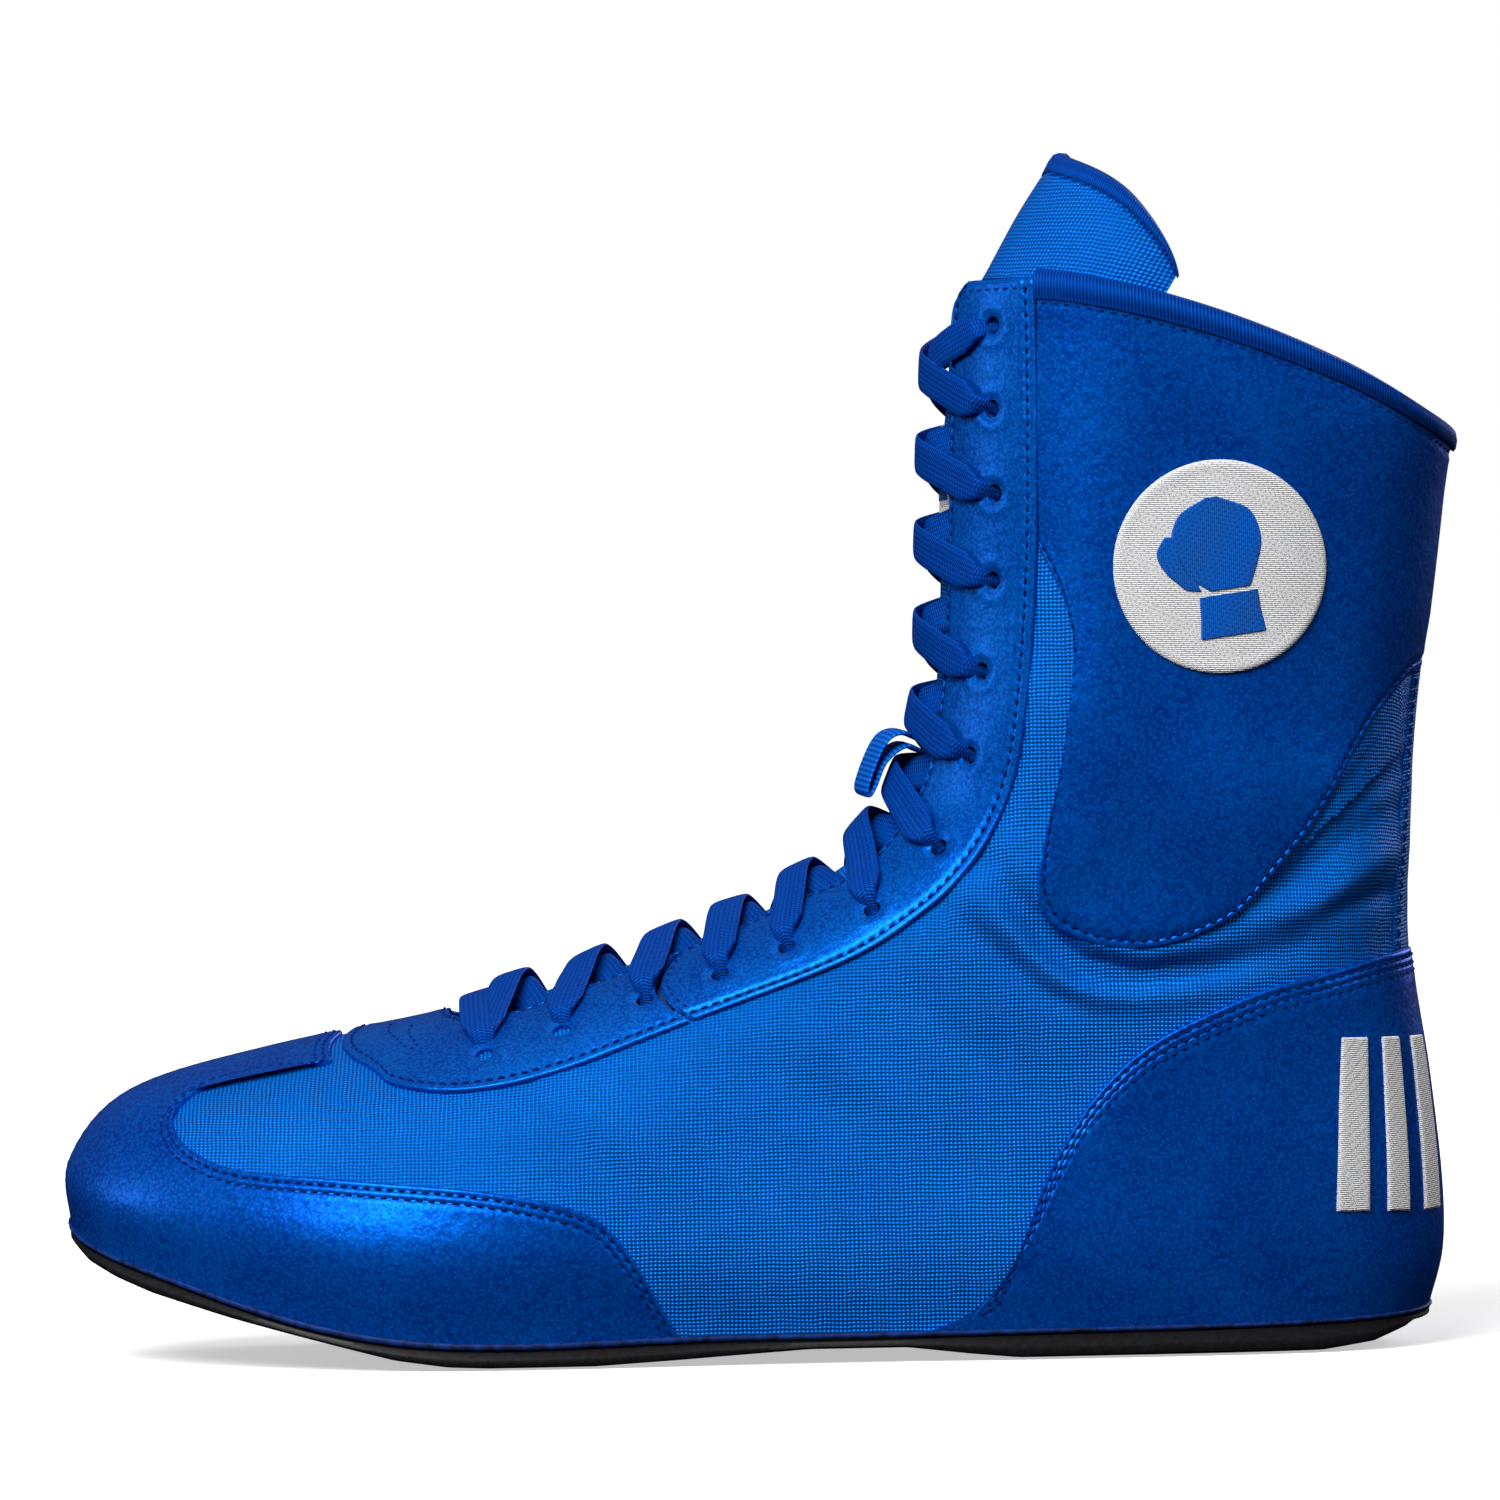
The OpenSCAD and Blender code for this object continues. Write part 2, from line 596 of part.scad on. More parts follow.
module facing_backing_medial() {
    color("#10357c") place() facing(BACKING_OUTER, backing_top, backing_low, 1);
}

// ---- Tongue ----

// How far the tongue stands above its level under the facings, at ring t and angle p
function tongue_bulge(t) = lookup(t, [[3.7, 1], [3.95, 1], [4.35, 3.5], [10, 3.5], [10.5, 2], [11, -4]]);
function tongue_rise(t, p) =
    let (k = min(1, abs(p) / (tongue_edge_angle * lookup(t, [[10, 1], [11, 1.8]]))))
    tongue_bulge(t) * (1 + cos(180 * k)) / 2;

module tongue(edge, n) {
    a = smooth([for (q = edge) [q[0], -q[1]]], n);
    b = smooth(edge, n);
    panel(a, b, 12, tongue_side, tongue_side - tongue_t, rise = function (t, p) tongue_rise(t, p));
}

module tongue_lower() {
    color("#0e55c8") place() tongue([[3.75, 20], [4.2, 31], [4.8, 36], [5.3, 38], [5.75, 38]], 7);
}

module tongue_ankle() {
    color("#0e55c8") place() tongue([[5.83, 38], [6.1, 38], [6.5, 38]], 3);
}

module tongue_shaft() {
    color("#0e55c8") place() tongue([[6.8, 39], [7.5, 42], [8.5, 48], [9.5, 58], [10.3, 70], [10.72, 76]], 12);
}

module tongue_label() {
    n = 5;
    lift = tongue_side + 3.5;
    color("#dfe5ee") place()
        panel(smooth([[9.35, -9], [10, -9]], n), smooth([[9.35, 9], [10, 9]], n), 4, lift + 0.35, lift + 0.1,
              rise = function (t, p) tongue_rise(t, p) - tongue_bulge(t));
}

// Free top of the tongue, leaning back over the shin, with its bound edge
flap_lean = [0.52, 0, 0.854];
flap_h = 31;
flap_angle = 84;
flap_start = 0.6;

function flap_height(p) = flap_h * pow(max(0, 1 - pow(p / flap_angle, 2)), 0.6);
function flap_point(p, s, d) =
    skin(LAST, p, tongue_side + tongue_rise(LAST, p) + d) + flap_lean * (flap_start + s * flap_height(p));

module flap(from, to, m, top, low) {
    n = 24;
    reach = flap_angle - 3;
    angle = function (i) -reach + 2 * reach * i / n;
    sheet([for (i = [0:n]) for (j = [0:m]) flap_point(angle(i), from + (to - from) * j / m, top)],
          [for (i = [0:n]) for (j = [0:m]) flap_point(angle(i), from + (to - from) * j / m, low)],
          n, m);
}

module tongue_top() {
    color("#0e55c8") place() flap(0, 0.86, 5, 0, -tongue_t);
}

module tongue_binding() {
    color("#06358c") place() flap(0.88, 1, 1, 0.4, -tongue_t - 0.4);
}

// ---- Lace ----

function lace_height(k, to_under, cross_rise) =
    let (over = lace_over, under = lace_under, peak = lace_over + cross_rise)
    k < 0.5
        ? over + (peak - over) * lookup(k, [[0.24, 0], [0.5, 1]])
        : peak + ((to_under ? under : over) - peak) * lookup(k, [[0.5, 0], [to_under ? 0.73 : 0.76, 1]]);

// Ring where angle p lies level, along the instep's run, with the side-view point q
function level_with(q, run, p, lo = 0, hi = LAST, k = 13) =
    let (t = (lo + hi) / 2, r = ring(t, p))
    k == 0 ? t : ([r.x, r.z] - q) * run > 0 ? level_with(q, run, p, lo, t, k - 1)
    : level_with(q, run, p, t, hi, k - 1);

// One crossing of the lace: out of eyelet i on one side, over the throat to eyelet j on the other
module crossing(i, j, side, under, cross_rise) {
    a = seam([EYELETS[i]], side)[0];
    b = seam([EYELETS[j]], -side)[0];
    t = (a[0] + b[0]) / 2;
    run = curve(FRONT, t + 0.6) - curve(FRONT, t);
    steps = 10;
    path = [
        for (s = [0:steps])
        let (k = s / steps, p = a[1] + (b[1] - a[1]) * k)
        [level_with(EYELETS[i] + (EYELETS[j] - EYELETS[i]) * k, run, p), p, lace_height(k, under, cross_rise)]
    ];
    strip(path, lace_w / 2, lace_t);
}

module crossings(first, last) {
    for (i = [first:last]) {
        crossing(i, i - 1, -1, i > 1, lace_t + 1);
        crossing(i, i - 1, 1, i > 1, 0);
    }
}

module lace_foot() {
    color("#06348f") place() {
        crossings(9, last_eyelet);
        crossing(last_eyelet, last_eyelet, -1, false, 0.6);
    }
}

module lace_ankle() {
    color("#06348f") place() crossings(7, 8);
}

module lace_shaft() {
    color("#06348f") place() crossings(1, 6);
}

// Ends of the lace, tucked up between the facing and the tongue from the top eyelets
module lace_tails() {
    color("#06348f") place() for (side = [-1, 1])
        strip([for (k = [0:5]) [10.42 + 0.06 * k, side * (35 - 1.2 * k), lace_under]], 2.6, lace_t);
}

module aglets() {
    color("#0a2350") place() for (side = [-1, 1])
        strip([for (k = [0:3]) [10.73 + 0.04 * k, side * (28.6 - 0.8 * k), lace_under]], 1.6, 1.1);
}

// Webbing loop on the tongue: sewn down above a crossing of the lace, it stands out over it
module lace_keeper() {
    wide = 8;
    loop = smooth([[2.4, -1.1], [2.1, 3.2], [-3, 5.8], [-8.5, 6.6], [-10, 8], [-7, 9.4], [-1, 9.8],
                   [3, 9.2], [5, 7], [4.9, 3], [4.6, -1.1]], 20);
    side = function (i)
        let (run = loop[min(20, i + 1)] - loop[max(0, i - 1)]) 0.5 * [-run.y, run.x] / norm(run);
    band = concat([for (i = [0:20]) loop[i] + side(i)], [for (i = [20:-1:0]) loop[i] - side(i)]);
    n = outward(7.5, 0);
    color("#0a4cb8") place() translate(ring(7.5, 0) + [0, wide / 2, 0])
        rotate([90, atan2(n.x, n.z), 0]) linear_extrude(wide) polygon(band);
}

// ---- Badges ----

emblem_at = [98.5, 162];

module emblem(side) {
    n = 12;
    rim = function (k, s) emblem_at + emblem_r * [-cos(k), s * sin(k)];
    low = seam([for (i = [0:n]) rim(8 + 164 * i / n, -1)], side);
    high = seam([for (i = [0:n]) rim(8 + 164 * i / n, 1)], side);
    panel(low, high, 5, badge_top, badge_low);
}

module emblem_lateral() {
    color("#d9dce0") place() emblem(-1);
}

module emblem_medial() {
    color("#d9dce0") place() emblem(1);
}

outsole();
welt_piping();
insole_board();
footbed();
toe_puff();
heel_stiffener();
lining_foot();
vamp_mesh_lateral();
vamp_mesh_medial();
toe_cap();
heel_counter();
heel_bars();
throat_facing();
throat_backing();
tongue_lower();
lace_foot();
ankle_mesh();
ankle_lining();
tongue_ankle();
lace_ankle();
shaft_mesh_lateral();
shaft_mesh_medial();
lining_shaft();
cuff_lateral();
cuff_medial();
collar_binding();
backstay();
facing_lateral();
facing_medial();
facing_backing_lateral();
facing_backing_medial();
tongue_shaft();
tongue_label();
lace_keeper();
lace_shaft();
lace_tails();
aglets();
emblem_lateral();
emblem_medial();
tongue_top();
tongue_binding();
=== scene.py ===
"""A left lace-up boxing boot: leather, mesh, laces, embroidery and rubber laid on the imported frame.

The upper is drawn on the same numbered rings as the frame, in millimetres, and put down in metres.
Ring t runs from the sole's edge (0) to the collar (LAST). Angle p is 0 at the front and 180 at the
back seam, negative on the outer side. A distance d is measured outwards from the leather's surface.
"""
import math

import bpy
import numpy as np
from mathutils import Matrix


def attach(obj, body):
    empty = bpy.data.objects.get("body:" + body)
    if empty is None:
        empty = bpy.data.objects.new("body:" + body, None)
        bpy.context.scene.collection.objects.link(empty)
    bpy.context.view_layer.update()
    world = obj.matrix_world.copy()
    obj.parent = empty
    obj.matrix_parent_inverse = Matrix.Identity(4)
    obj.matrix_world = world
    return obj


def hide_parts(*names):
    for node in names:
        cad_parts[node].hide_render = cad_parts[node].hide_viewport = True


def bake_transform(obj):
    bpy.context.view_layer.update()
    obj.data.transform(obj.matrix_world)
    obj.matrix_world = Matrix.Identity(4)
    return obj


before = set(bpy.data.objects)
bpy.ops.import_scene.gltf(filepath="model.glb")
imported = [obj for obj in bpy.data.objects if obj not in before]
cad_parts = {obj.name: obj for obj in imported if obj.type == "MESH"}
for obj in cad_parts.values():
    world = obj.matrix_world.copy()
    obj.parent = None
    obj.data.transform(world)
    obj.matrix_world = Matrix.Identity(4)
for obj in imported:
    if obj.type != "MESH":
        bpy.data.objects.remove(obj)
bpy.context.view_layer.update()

CENTRE = np.array([-3.0, -3.4, 0.0])
MM = 0.001

# ---- The boot's surface ----

LAST = 11
FRONT = [[-143, 28.5], [-143.5, 42], [-131, 56], [-100, 65], [-60, 73], [-20, 84.5],
         [12, 98], [30, 113], [38, 135], [40, 163], [41, 193], [42.5, 223]]
BACK = [[142, 8], [145, 20], [145, 36], [143, 56], [140.5, 72], [139.2, 84],
        [139.2, 94], [140, 109], [141.2, 129], [144.2, 152], [147.2, 171], [149.5, 189]]
HALF = [[58, 57, 54, 39, 37, 46, 52], [63, 60, 57, 41, 39, 48, 56], [49, 52, 51, 38, 38, 48, 55],
        [33, 38, 41, 35, 37, 46, 50], [31, 34, 36, 34, 37, 45, 49], [32, 34, 36, 34, 37, 44, 47],
        [33, 35, 37, 34, 37, 43, 46], [34, 36, 37, 34.5, 37, 41, 43], [36, 37, 38, 34, 36, 39, 40],
        [38, 38, 38, 35, 36.5, 38.5, 39], [39, 39, 39, 36, 37.5, 39.5, 40], [40, 40, 40, 37, 38.5, 40, 41]]
DIP = [0, -8.5, -18.5, -13.5, -8, -3.5, 0]
DIP_FADE = [1, 0.62, 0.3, 0.1, 0, 0, 0, 0, 0, 0, 0, 0]
ARCH = [0, 2.5, 7, 8.5, 6.5, 2.5, 0]
ARCH_GROWTH = [0, 0, 0, 0, 0, 0, 0, 0.08, 0.2, 0.4, 0.7, 1]
INFLARE = [9, 9, 8, 7, 5, 3.5, 2, 1, 0, 0, 0, 0]
CREST = [0, 2, 7, 9, 6, 3, 1, 0, 0, 0, 0, 0]
WAIST_SHIFT = 2.5

LEATHER = 1.05
MESH_TOP, MESH_LOW = -1.15, -2.1
LINING_TOP, LINING_LOW = -3.6, -4.6
BACKING_TOP = -1.3
TONGUE_SIDE = -5.3


def spline(a, b, c, d, f):
    """Catmull-Rom value between b and c."""
    return b + 0.5 * f * ((c - a) + f * ((2 * a - 5 * b + 4 * c - d) + f * (3 * (b - c) + d - a)))


def curve(table, u):
    """Smooth curve through the rows of a table, at places u counted in rows."""
    rows = np.asarray(table, float)
    rows = np.concatenate([2 * rows[:1] - rows[1:2], rows, 2 * rows[-1:] - rows[-2:-1]])
    u = np.asarray(u, float)
    i = np.clip(np.floor(u).astype(int), 0, len(rows) - 4)
    f = (u - i).reshape(u.shape + (1,) * (rows.ndim - 1))
    return spline(rows[i], rows[i + 1], rows[i + 2], rows[i + 3], f)


def across(rows, q):
    """The same along each row of its own, at place q."""
    rows = np.concatenate([2 * rows[..., :1] - rows[..., 1:2], rows,
                           2 * rows[..., -1:] - rows[..., -2:-1]], -1)
    i = np.clip(np.floor(q).astype(int), 0, rows.shape[-1] - 4)
    a, b, c, d = (np.take_along_axis(rows, (i + k)[..., None], -1)[..., 0] for k in range(4))
    return spline(a, b, c, d, q - i)


def fold(p):
    return np.degrees(np.arccos(np.clip(np.cos(np.radians(p)), -1, 1)))


def bow(t, p):
    q = fold(p) / 30
    return curve(DIP, q) * curve(DIP_FADE, t) + curve(ARCH, q) * curve(ARCH_GROWTH, t)


def mid_y(t, p):
    k = (1 + np.cos(np.radians(p))) / 2
    return (curve(INFLARE, t) * k * k + curve(CREST, t) * k ** 8
            - WAIST_SHIFT * curve(DIP_FADE, t) * np.sin(np.radians(p)) ** 2)


def ring(t, p):
    t, p = np.broadcast_arrays(np.asarray(t, float), np.asarray(p, float))
    a, b = curve(FRONT, t), curve(BACK, t)
    q = a + (b - a) * ((1 - np.cos(np.radians(p))) / 2)[..., None]
    half = across(curve(HALF, t), fold(p) / 30)
    return np.stack([q[..., 0], mid_y(t, p) + half * np.sin(np.radians(p)), q[..., 1] + bow(t, p)], -1)


def outward(t, p):
    n = np.cross(ring(t + 0.02, p) - ring(t - 0.02, p), ring(t, p + 0.8) - ring(t, p - 0.8))
    return n / np.linalg.norm(n, axis=-1, keepdims=True)


def skin(t, p, d):
    t, p, d = np.broadcast_arrays(np.asarray(t, float), np.asarray(p, float), np.asarray(d, float))
    return ring(t, p) + outward(t, p) * d[..., None]


def share(t, x):
    a, b = curve(FRONT, t), curve(BACK, t)
    return np.clip((x - a[..., 0]) / (b[..., 0] - a[..., 0]), 0, 1)


def locate(points):
    """Ring and angle of the surface points seen from the side at each x, z."""
    points = np.asarray(points, float)
    x, z = points[..., 0], points[..., 1]
    lo, hi = np.zeros(x.shape), np.full(x.shape, float(LAST))
    for _ in range(22):
        t = (lo + hi) / 2
        c = share(t, x)
        a, b = curve(FRONT, t), curve(BACK, t)
        above = a[..., 1] + (b[..., 1] - a[..., 1]) * c + bow(t, np.degrees(np.arccos(1 - 2 * c))) > z
        lo, hi = np.where(above, lo, t), np.where(above, t, hi)
    t = (lo + hi) / 2
    return np.stack([t, np.degrees(np.arccos(1 - 2 * share(t, x)))], -1)


def seam(points, side):
    """Side-view points as (t, p) on the inner side (1) or the outer side (-1)."""
    return locate(points) * np.array([1, side])


def back_seam(points, side):
    """The same, with angles that run on past 180 round the heel on the outer side."""
    found = locate(points)
    return found if side > 0 else np.stack([found[:, 0], 360 - found[:, 1]], -1)


def crest(x):
    """Where seams cross the crest of the instep at x."""
    t = np.linspace(0, LAST, 1200)
    return np.array([[np.interp(x, curve(FRONT, t)[:, 0][60:], t[60:]), 0.0]])


# Arc lengths over the surface, in millimetres, for the cloth's threads and the leather's grain
UV_ROWS = 133
UV_COLUMNS = 271
UV_T = np.linspace(0, LAST, UV_ROWS)
UV_P = np.linspace(-180, 360, UV_COLUMNS)
_points = ring(*np.meshgrid(UV_T, UV_P, indexing="ij"))
_up = np.concatenate([np.zeros((1, UV_COLUMNS)),
                      np.cumsum(np.linalg.norm(np.diff(_points, axis=0), axis=-1), 0)])
_round = np.concatenate([np.zeros((UV_ROWS, 1)),
                         np.cumsum(np.linalg.norm(np.diff(_points, axis=1), axis=-1), 1)], 1)
_round = _round - _round[:, 135:136]


def unroll(t, p):
    """Distance round and up the surface, in metres."""
    i = np.clip((t / UV_T[1]), 0, 131.999)
    j = np.clip((p + 180) / 2, 0, 269.999)
    a, b = np.floor(i).astype(int), np.floor(j).astype(int)
    f, g = i - a, j - b
    both = np.stack([_round, _up], -1)
    mix = ((1 - f) * (1 - g))[..., None] * both[a, b] + (f * (1 - g))[..., None] * both[a + 1, b]
    mix = mix + ((1 - f) * g)[..., None] * both[a, b + 1] + (f * g)[..., None] * both[a + 1, b + 1]
    return mix * MM


# Girth of the boot at each x, from the sole's edge up, for cloth cut with its threads upright
GIRTH_STEPS = 150
GIRTH_ROWS = 50
GIRTH_X = np.linspace(-146, 152, GIRTH_STEPS)
_front = curve(FRONT, np.linspace(1.2, LAST, 300))
_high = np.where(GIRTH_X < 42.5, np.interp(GIRTH_X, _front[:, 0], _front[:, 1]),
                 223 - 34 * (GIRTH_X - 42.5) / 107)
_base = curve(FRONT, 0.0), curve(BACK, 0.0)
_part = np.clip((GIRTH_X - _base[0][0]) / (_base[1][0] - _base[0][0]), 0, 1)
_deep = _base[0][1] + (_base[1][1] - _base[0][1]) * _part + bow(0.0, np.degrees(np.arccos(1 - 2 * _part)))
_rise = np.sin(np.linspace(0, np.pi / 2, GIRTH_ROWS))
_z = _deep[:, None] + (_high - _deep)[:, None] * _rise[None]
_found = locate(np.stack([GIRTH_X[:, None] + 0 * _z, _z], -1))
GIRTH = {}
for _side in (-1, 1):
    _y = ring(_found[..., 0], _side * _found[..., 1])[..., 1]
    _gone = np.cumsum(np.hypot(np.diff(_y, axis=1), np.diff(_z, axis=1)), 1)
    GIRTH[_side] = np.concatenate([np.zeros((150, 1)), _gone], 1) + _deep[:, None]


def upright(points, side):
    """Cloth coordinates with threads level and upright as the boot stands, in metres."""
    x, y, z = points[..., 0], points[..., 1], points[..., 2]
    i = np.clip((x - GIRTH_X[0]) / (GIRTH_X[1] - GIRTH_X[0]), 0, 148.999)
    a = np.floor(i).astype(int)
    f = i - a
    low, high = _deep[a] + f * (_deep[a + 1] - _deep[a]), _high[a] + f * (_high[a + 1] - _high[a])
    j = np.arcsin(np.clip((z - low) / (high - low), 0, 1)) / (np.pi / 2) * 49
    b = np.clip(np.floor(j).astype(int), 0, 48)
    g = j - b
    table = GIRTH[side]
    v = ((1 - f) * (1 - g) * table[a, b] + f * (1 - g) * table[a + 1, b]
         + (1 - f) * g * table[a, b + 1] + f * g * table[a + 1, b + 1])
    turned = 0.8 * np.clip(36 - np.abs(y), 0, 36) * np.clip((x - 95) / 30, 0, 1)
    return np.stack([x + turned, v], -1) * MM


# ---- Meshes ----

def choose(piece):
    """Makes the piece the only selected one."""
    for other in list(bpy.context.selected_objects):
        other.select_set(False)
    bpy.context.view_layer.objects.active = piece
    piece.select_set(True)


def face_out(piece):
    """Turn every face of a closed piece outwards."""
    choose(piece)
    bpy.ops.object.mode_set(mode="EDIT")
    bpy.ops.mesh.select_all(action="SELECT")
    bpy.ops.mesh.normals_make_consistent(inside=False)
    bpy.ops.object.mode_set(mode="OBJECT")


def apply_all(piece):
    choose(piece)
    for modifier in list(piece.modifiers):
        bpy.ops.object.modifier_apply(modifier=modifier.name)


def smooth_shade(piece, angle=38):
    choose(piece)
    bpy.ops.object.shade_smooth_by_angle(angle=math.radians(angle))


def build(name, points, faces, uv=None, finish=None, angle=38):
    """A piece from points in millimetres on the natural boot."""
    mesh = bpy.data.meshes.new(name)
    mesh.from_pydata(((np.asarray(points) + CENTRE) * MM).tolist(), [], faces)
    piece = bpy.data.objects.new(name, mesh)
    bpy.context.scene.collection.objects.link(piece)
    if uv is not None:
        layer = mesh.uv_layers.new(name="cut")
        corner = np.zeros(len(mesh.loops), int)
        mesh.loops.foreach_get("vertex_index", corner)
        layer.data.foreach_set("uv", np.asarray(uv, np.float32)[corner].ravel())
    if finish is not None:
        mesh.materials.append(finish)
    smooth_shade(piece, angle)
    return piece


def grid_faces(n, m, offset=0, flip=False, closed=False):
    i, j = np.meshgrid(np.arange(n if closed else n - 1), np.arange(m - 1), indexing="ij")
    a, b = i * m + j, ((i + 1) % n) * m + j
    quads = np.stack([a, b, b + 1, a + 1], -1).reshape(-1, 4) + offset
    return quads[:, ::-1] if flip else quads


def shell(name, top, low, uv, finish, closed=False):
    """A closed sheet between an outer and an inner grid of points."""
    n, m = top.shape[:2]
    count = n * m
    middle = (n // 2, m // 2)
    across_it = np.cross(top[middle[0] + 1, middle[1]] - top[middle],
                         top[middle[0], middle[1] + 1] - top[middle])
    flip = np.dot(across_it, top[middle] - low[middle]) < 0
    rims = [np.stack([np.arange(n) * m, np.arange(n) * m + count], -1),
            np.stack([np.arange(n) * m + m - 1, np.arange(n) * m + m - 1 + count], -1)]
    if closed:
        rims = [np.concatenate([r, r[:1]]) for r in rims]
    walls = [np.concatenate([rims[0][:-1], rims[0][1:, ::-1]], 1)[:, [0, 1, 2, 3]],
             np.concatenate([rims[1][:-1], rims[1][1:, ::-1]], 1)[:, ::-1]]
    if not closed:
        j = np.arange(m)
        for start, turn in ((0, True), ((n - 1) * m, False)):
            rim = np.stack([j + start, j + start + count], -1)
            quads = np.concatenate([rim[:-1], rim[1:, ::-1]], 1)
            walls.append(quads[:, ::-1] if turn else quads)
    walls = np.concatenate(walls)
    faces = np.concatenate([grid_faces(n, m, 0, flip, closed), grid_faces(n, m, count, not flip, closed),
                            walls[:, ::-1] if flip else walls])
    points = np.concatenate([top.reshape(-1, 3), low.reshape(-1, 3)])
    uv = np.concatenate([uv.reshape(-1, 2), uv.reshape(-1, 2)])
    return build(name, points, faces.tolist(), uv, finish)


def waves(points, size=26.0, seed=1.0):
    """A smooth field of about -1 to 1 over points in millimetres, the same every time."""
    x, y, z = points[..., 0] / size, points[..., 1] / size, points[..., 2] / size
    return (np.sin(2.1 * x + 1.3 * z + seed) + np.sin(1.7 * y - 2.3 * z + 2.1 * seed)
            + np.sin(3.9 * z + 1.1 * x - 0.7 * y + 3.7 * seed) * 0.6) / 2.6


def near_line(points, line):
    """Side-view distance of points from a broken line, with how far along it they are, 0 to 1."""
    p = points[..., [0, 2]]
    line = np.asarray(line, float)
    best = np.full(p.shape[:-1], 1e9)
    along = np.zeros(p.shape[:-1])
    for k in range(len(line) - 1):
        a, d = line[k], line[k + 1] - line[k]
        f = np.clip(((p - a) @ d) / (d @ d), 0, 1)
        r = np.linalg.norm(p - a - f[..., None] * d, axis=-1)
        along = np.where(r < best, (k + f) / (len(line) - 1), along)
        best = np.minimum(r, best)
    return best, along


# Creases of the soft cloth: side-view line, depth and half width; a negative depth is a ridge
CREASES = [
    ([[50, 102], [56, 94], [62, 86], [69, 80], [80, 77.5], [96, 79], [114, 83.5]], 1.5, 3.2),
    ([[47, 96], [54, 88], [62, 79], [72, 73.5], [88, 73], [104, 76]], -1.0, 3.4),
    ([[62, 93], [70, 85.5], [82, 82], [100, 85]], -0.7, 2.6),
    ([[41, 93], [52, 83], [64, 74], [76, 69]], 0.7, 3.0),
    ([[100, 92], [112, 97], [124, 106], [137, 112]], 1.0, 3.0),
    ([[106, 88], [118, 92], [130, 100], [139, 104]], -0.8, 2.8),
    ([[118, 104], [128, 114], [138, 121]], 0.9, 2.8),
    ([[116, 112], [127, 122], [138, 130]], -0.7, 2.8),
    ([[122, 90], [131, 93], [139, 96]], 0.7, 2.2),
    ([[57, 150], [60, 136], [59, 120], [54, 106]], -0.5, 2.5),
    ([[-46, 57], [-36, 46], [-25, 34]], 0.5, 4.0),
    ([[-40, 59], [-29, 48], [-17, 36]], -0.45, 4.0),
    ([[-3, 68], [9, 57], [24, 45]], 0.45, 4.5),
    ([[8, 72], [22, 60], [38, 50]], -0.5, 5.0),
    ([[30, 78], [44, 66], [56, 56]], 0.4, 4.5),
]


def creases(points, strength=1.0):
    d = np.zeros(points.shape[:-1])
    for line, depth, width in CREASES:
        r, along = near_line(points, line)
        d -= strength * depth * np.exp(-(r / width) ** 2) * np.sin(np.pi * np.clip(along, 0.06, 0.94)) ** 0.6
    return d


NEAR = [0, 0.1, 0.28, 0.55, 0.9, 1.15, 1.4, 1.65, 2.0, 2.4, 2.8, 3.05, 3.3, 3.55, 3.9, 4.5, 5.4]
PITCH = 2.5


class Panel:
    """A cut of leather ruled between two seams of (t, p) points, evenly spaced along the first."""

    def __init__(self, a, b, step=0.7, near=NEAR, far=(0, 0.12, 0.35, 0.7, 1.3), rows=18):
        a, b = np.asarray(a, float), np.asarray(b, float)
        w = np.linspace(0, 1, 900)
        line = curve(a, w * (len(a) - 1))
        run = np.linalg.norm(np.diff(skin(line[:, 0], line[:, 1], 0), axis=0), axis=1)
        run = np.concatenate([[0], np.cumsum(run)])
        n = int(run[-1] / step) + 1
        self.run = np.linspace(0, run[-1], n)
        w = np.interp(self.run, run, w)
        self.a, self.b = curve(a, w * (len(a) - 1)), curve(b, w * (len(b) - 1))
        self.f = np.linspace(0, 1, 33)
        rule = self.a[:, None] + (self.b - self.a)[:, None] * self.f[None, :, None]
        gone = np.linalg.norm(np.diff(skin(rule[..., 0], rule[..., 1], 0), axis=1), axis=-1)
        self.gone = np.concatenate([np.zeros((n, 1)), np.cumsum(gone, 1)], 1)
        self.length = self.gone[:, -1]
        near, far = np.array(near, float), np.array(far, float)
        fit = np.minimum(1, self.length / (near[-1] + far[-1] + 1.5))[:, None]
        lo, hi = near[None] * fit, self.length[:, None] - far[None, ::-1] * fit
        k = np.linspace(0, 1, rows + 2)[1:-1][None]
        mid = lo[:, -1:] + (hi[:, :1] - lo[:, -1:]) * k
        self.s = np.concatenate([lo, mid, hi], 1)
        self.tp = self.place(self.s)
        self.t, self.p = self.tp[..., 0], self.tp[..., 1]
        self.to_b = self.length[:, None] - self.s
        self.to_ends = np.minimum(self.run, self.run[-1] - self.run)[:, None] + 0 * self.s

    def place(self, s):
        f = np.stack([np.interp(row, gone, self.f) for row, gone in zip(s, self.gone)])
        return self.a[:, None] + (self.b - self.a)[:, None] * f[..., None]

    def row(self, s, from_b=False):
        """(t, p) along the panel at a fixed distance from seam a or b."""
        s = np.full((len(self.run), 1), float(s))
        return self.place(self.length[:, None] - s if from_b else s)[:, 0]


def rounded(s, radius=0.6, drop=0.55):
    """How far a cut edge rolls down at distance s from it."""
    k = np.clip(1 - s / radius, 0, 1)
    return -drop * (1 - np.sqrt(np.clip(1 - k * k, 0, 1)))


def sewn(s, run, rows, depth=0.34):
    """The pinched groove along rows of stitching, with the leather swelling between them."""
    d = np.zeros(s.shape)
    for at in rows:
        pull = 0.72 + 0.28 * np.cos(2 * np.pi * run / PITCH)
        d -= depth * pull * np.exp(-((s - at) / 0.42) ** 2)
        d += 0.10 * np.exp(-((s - at - 1.3) / 0.9) ** 2)
    return d


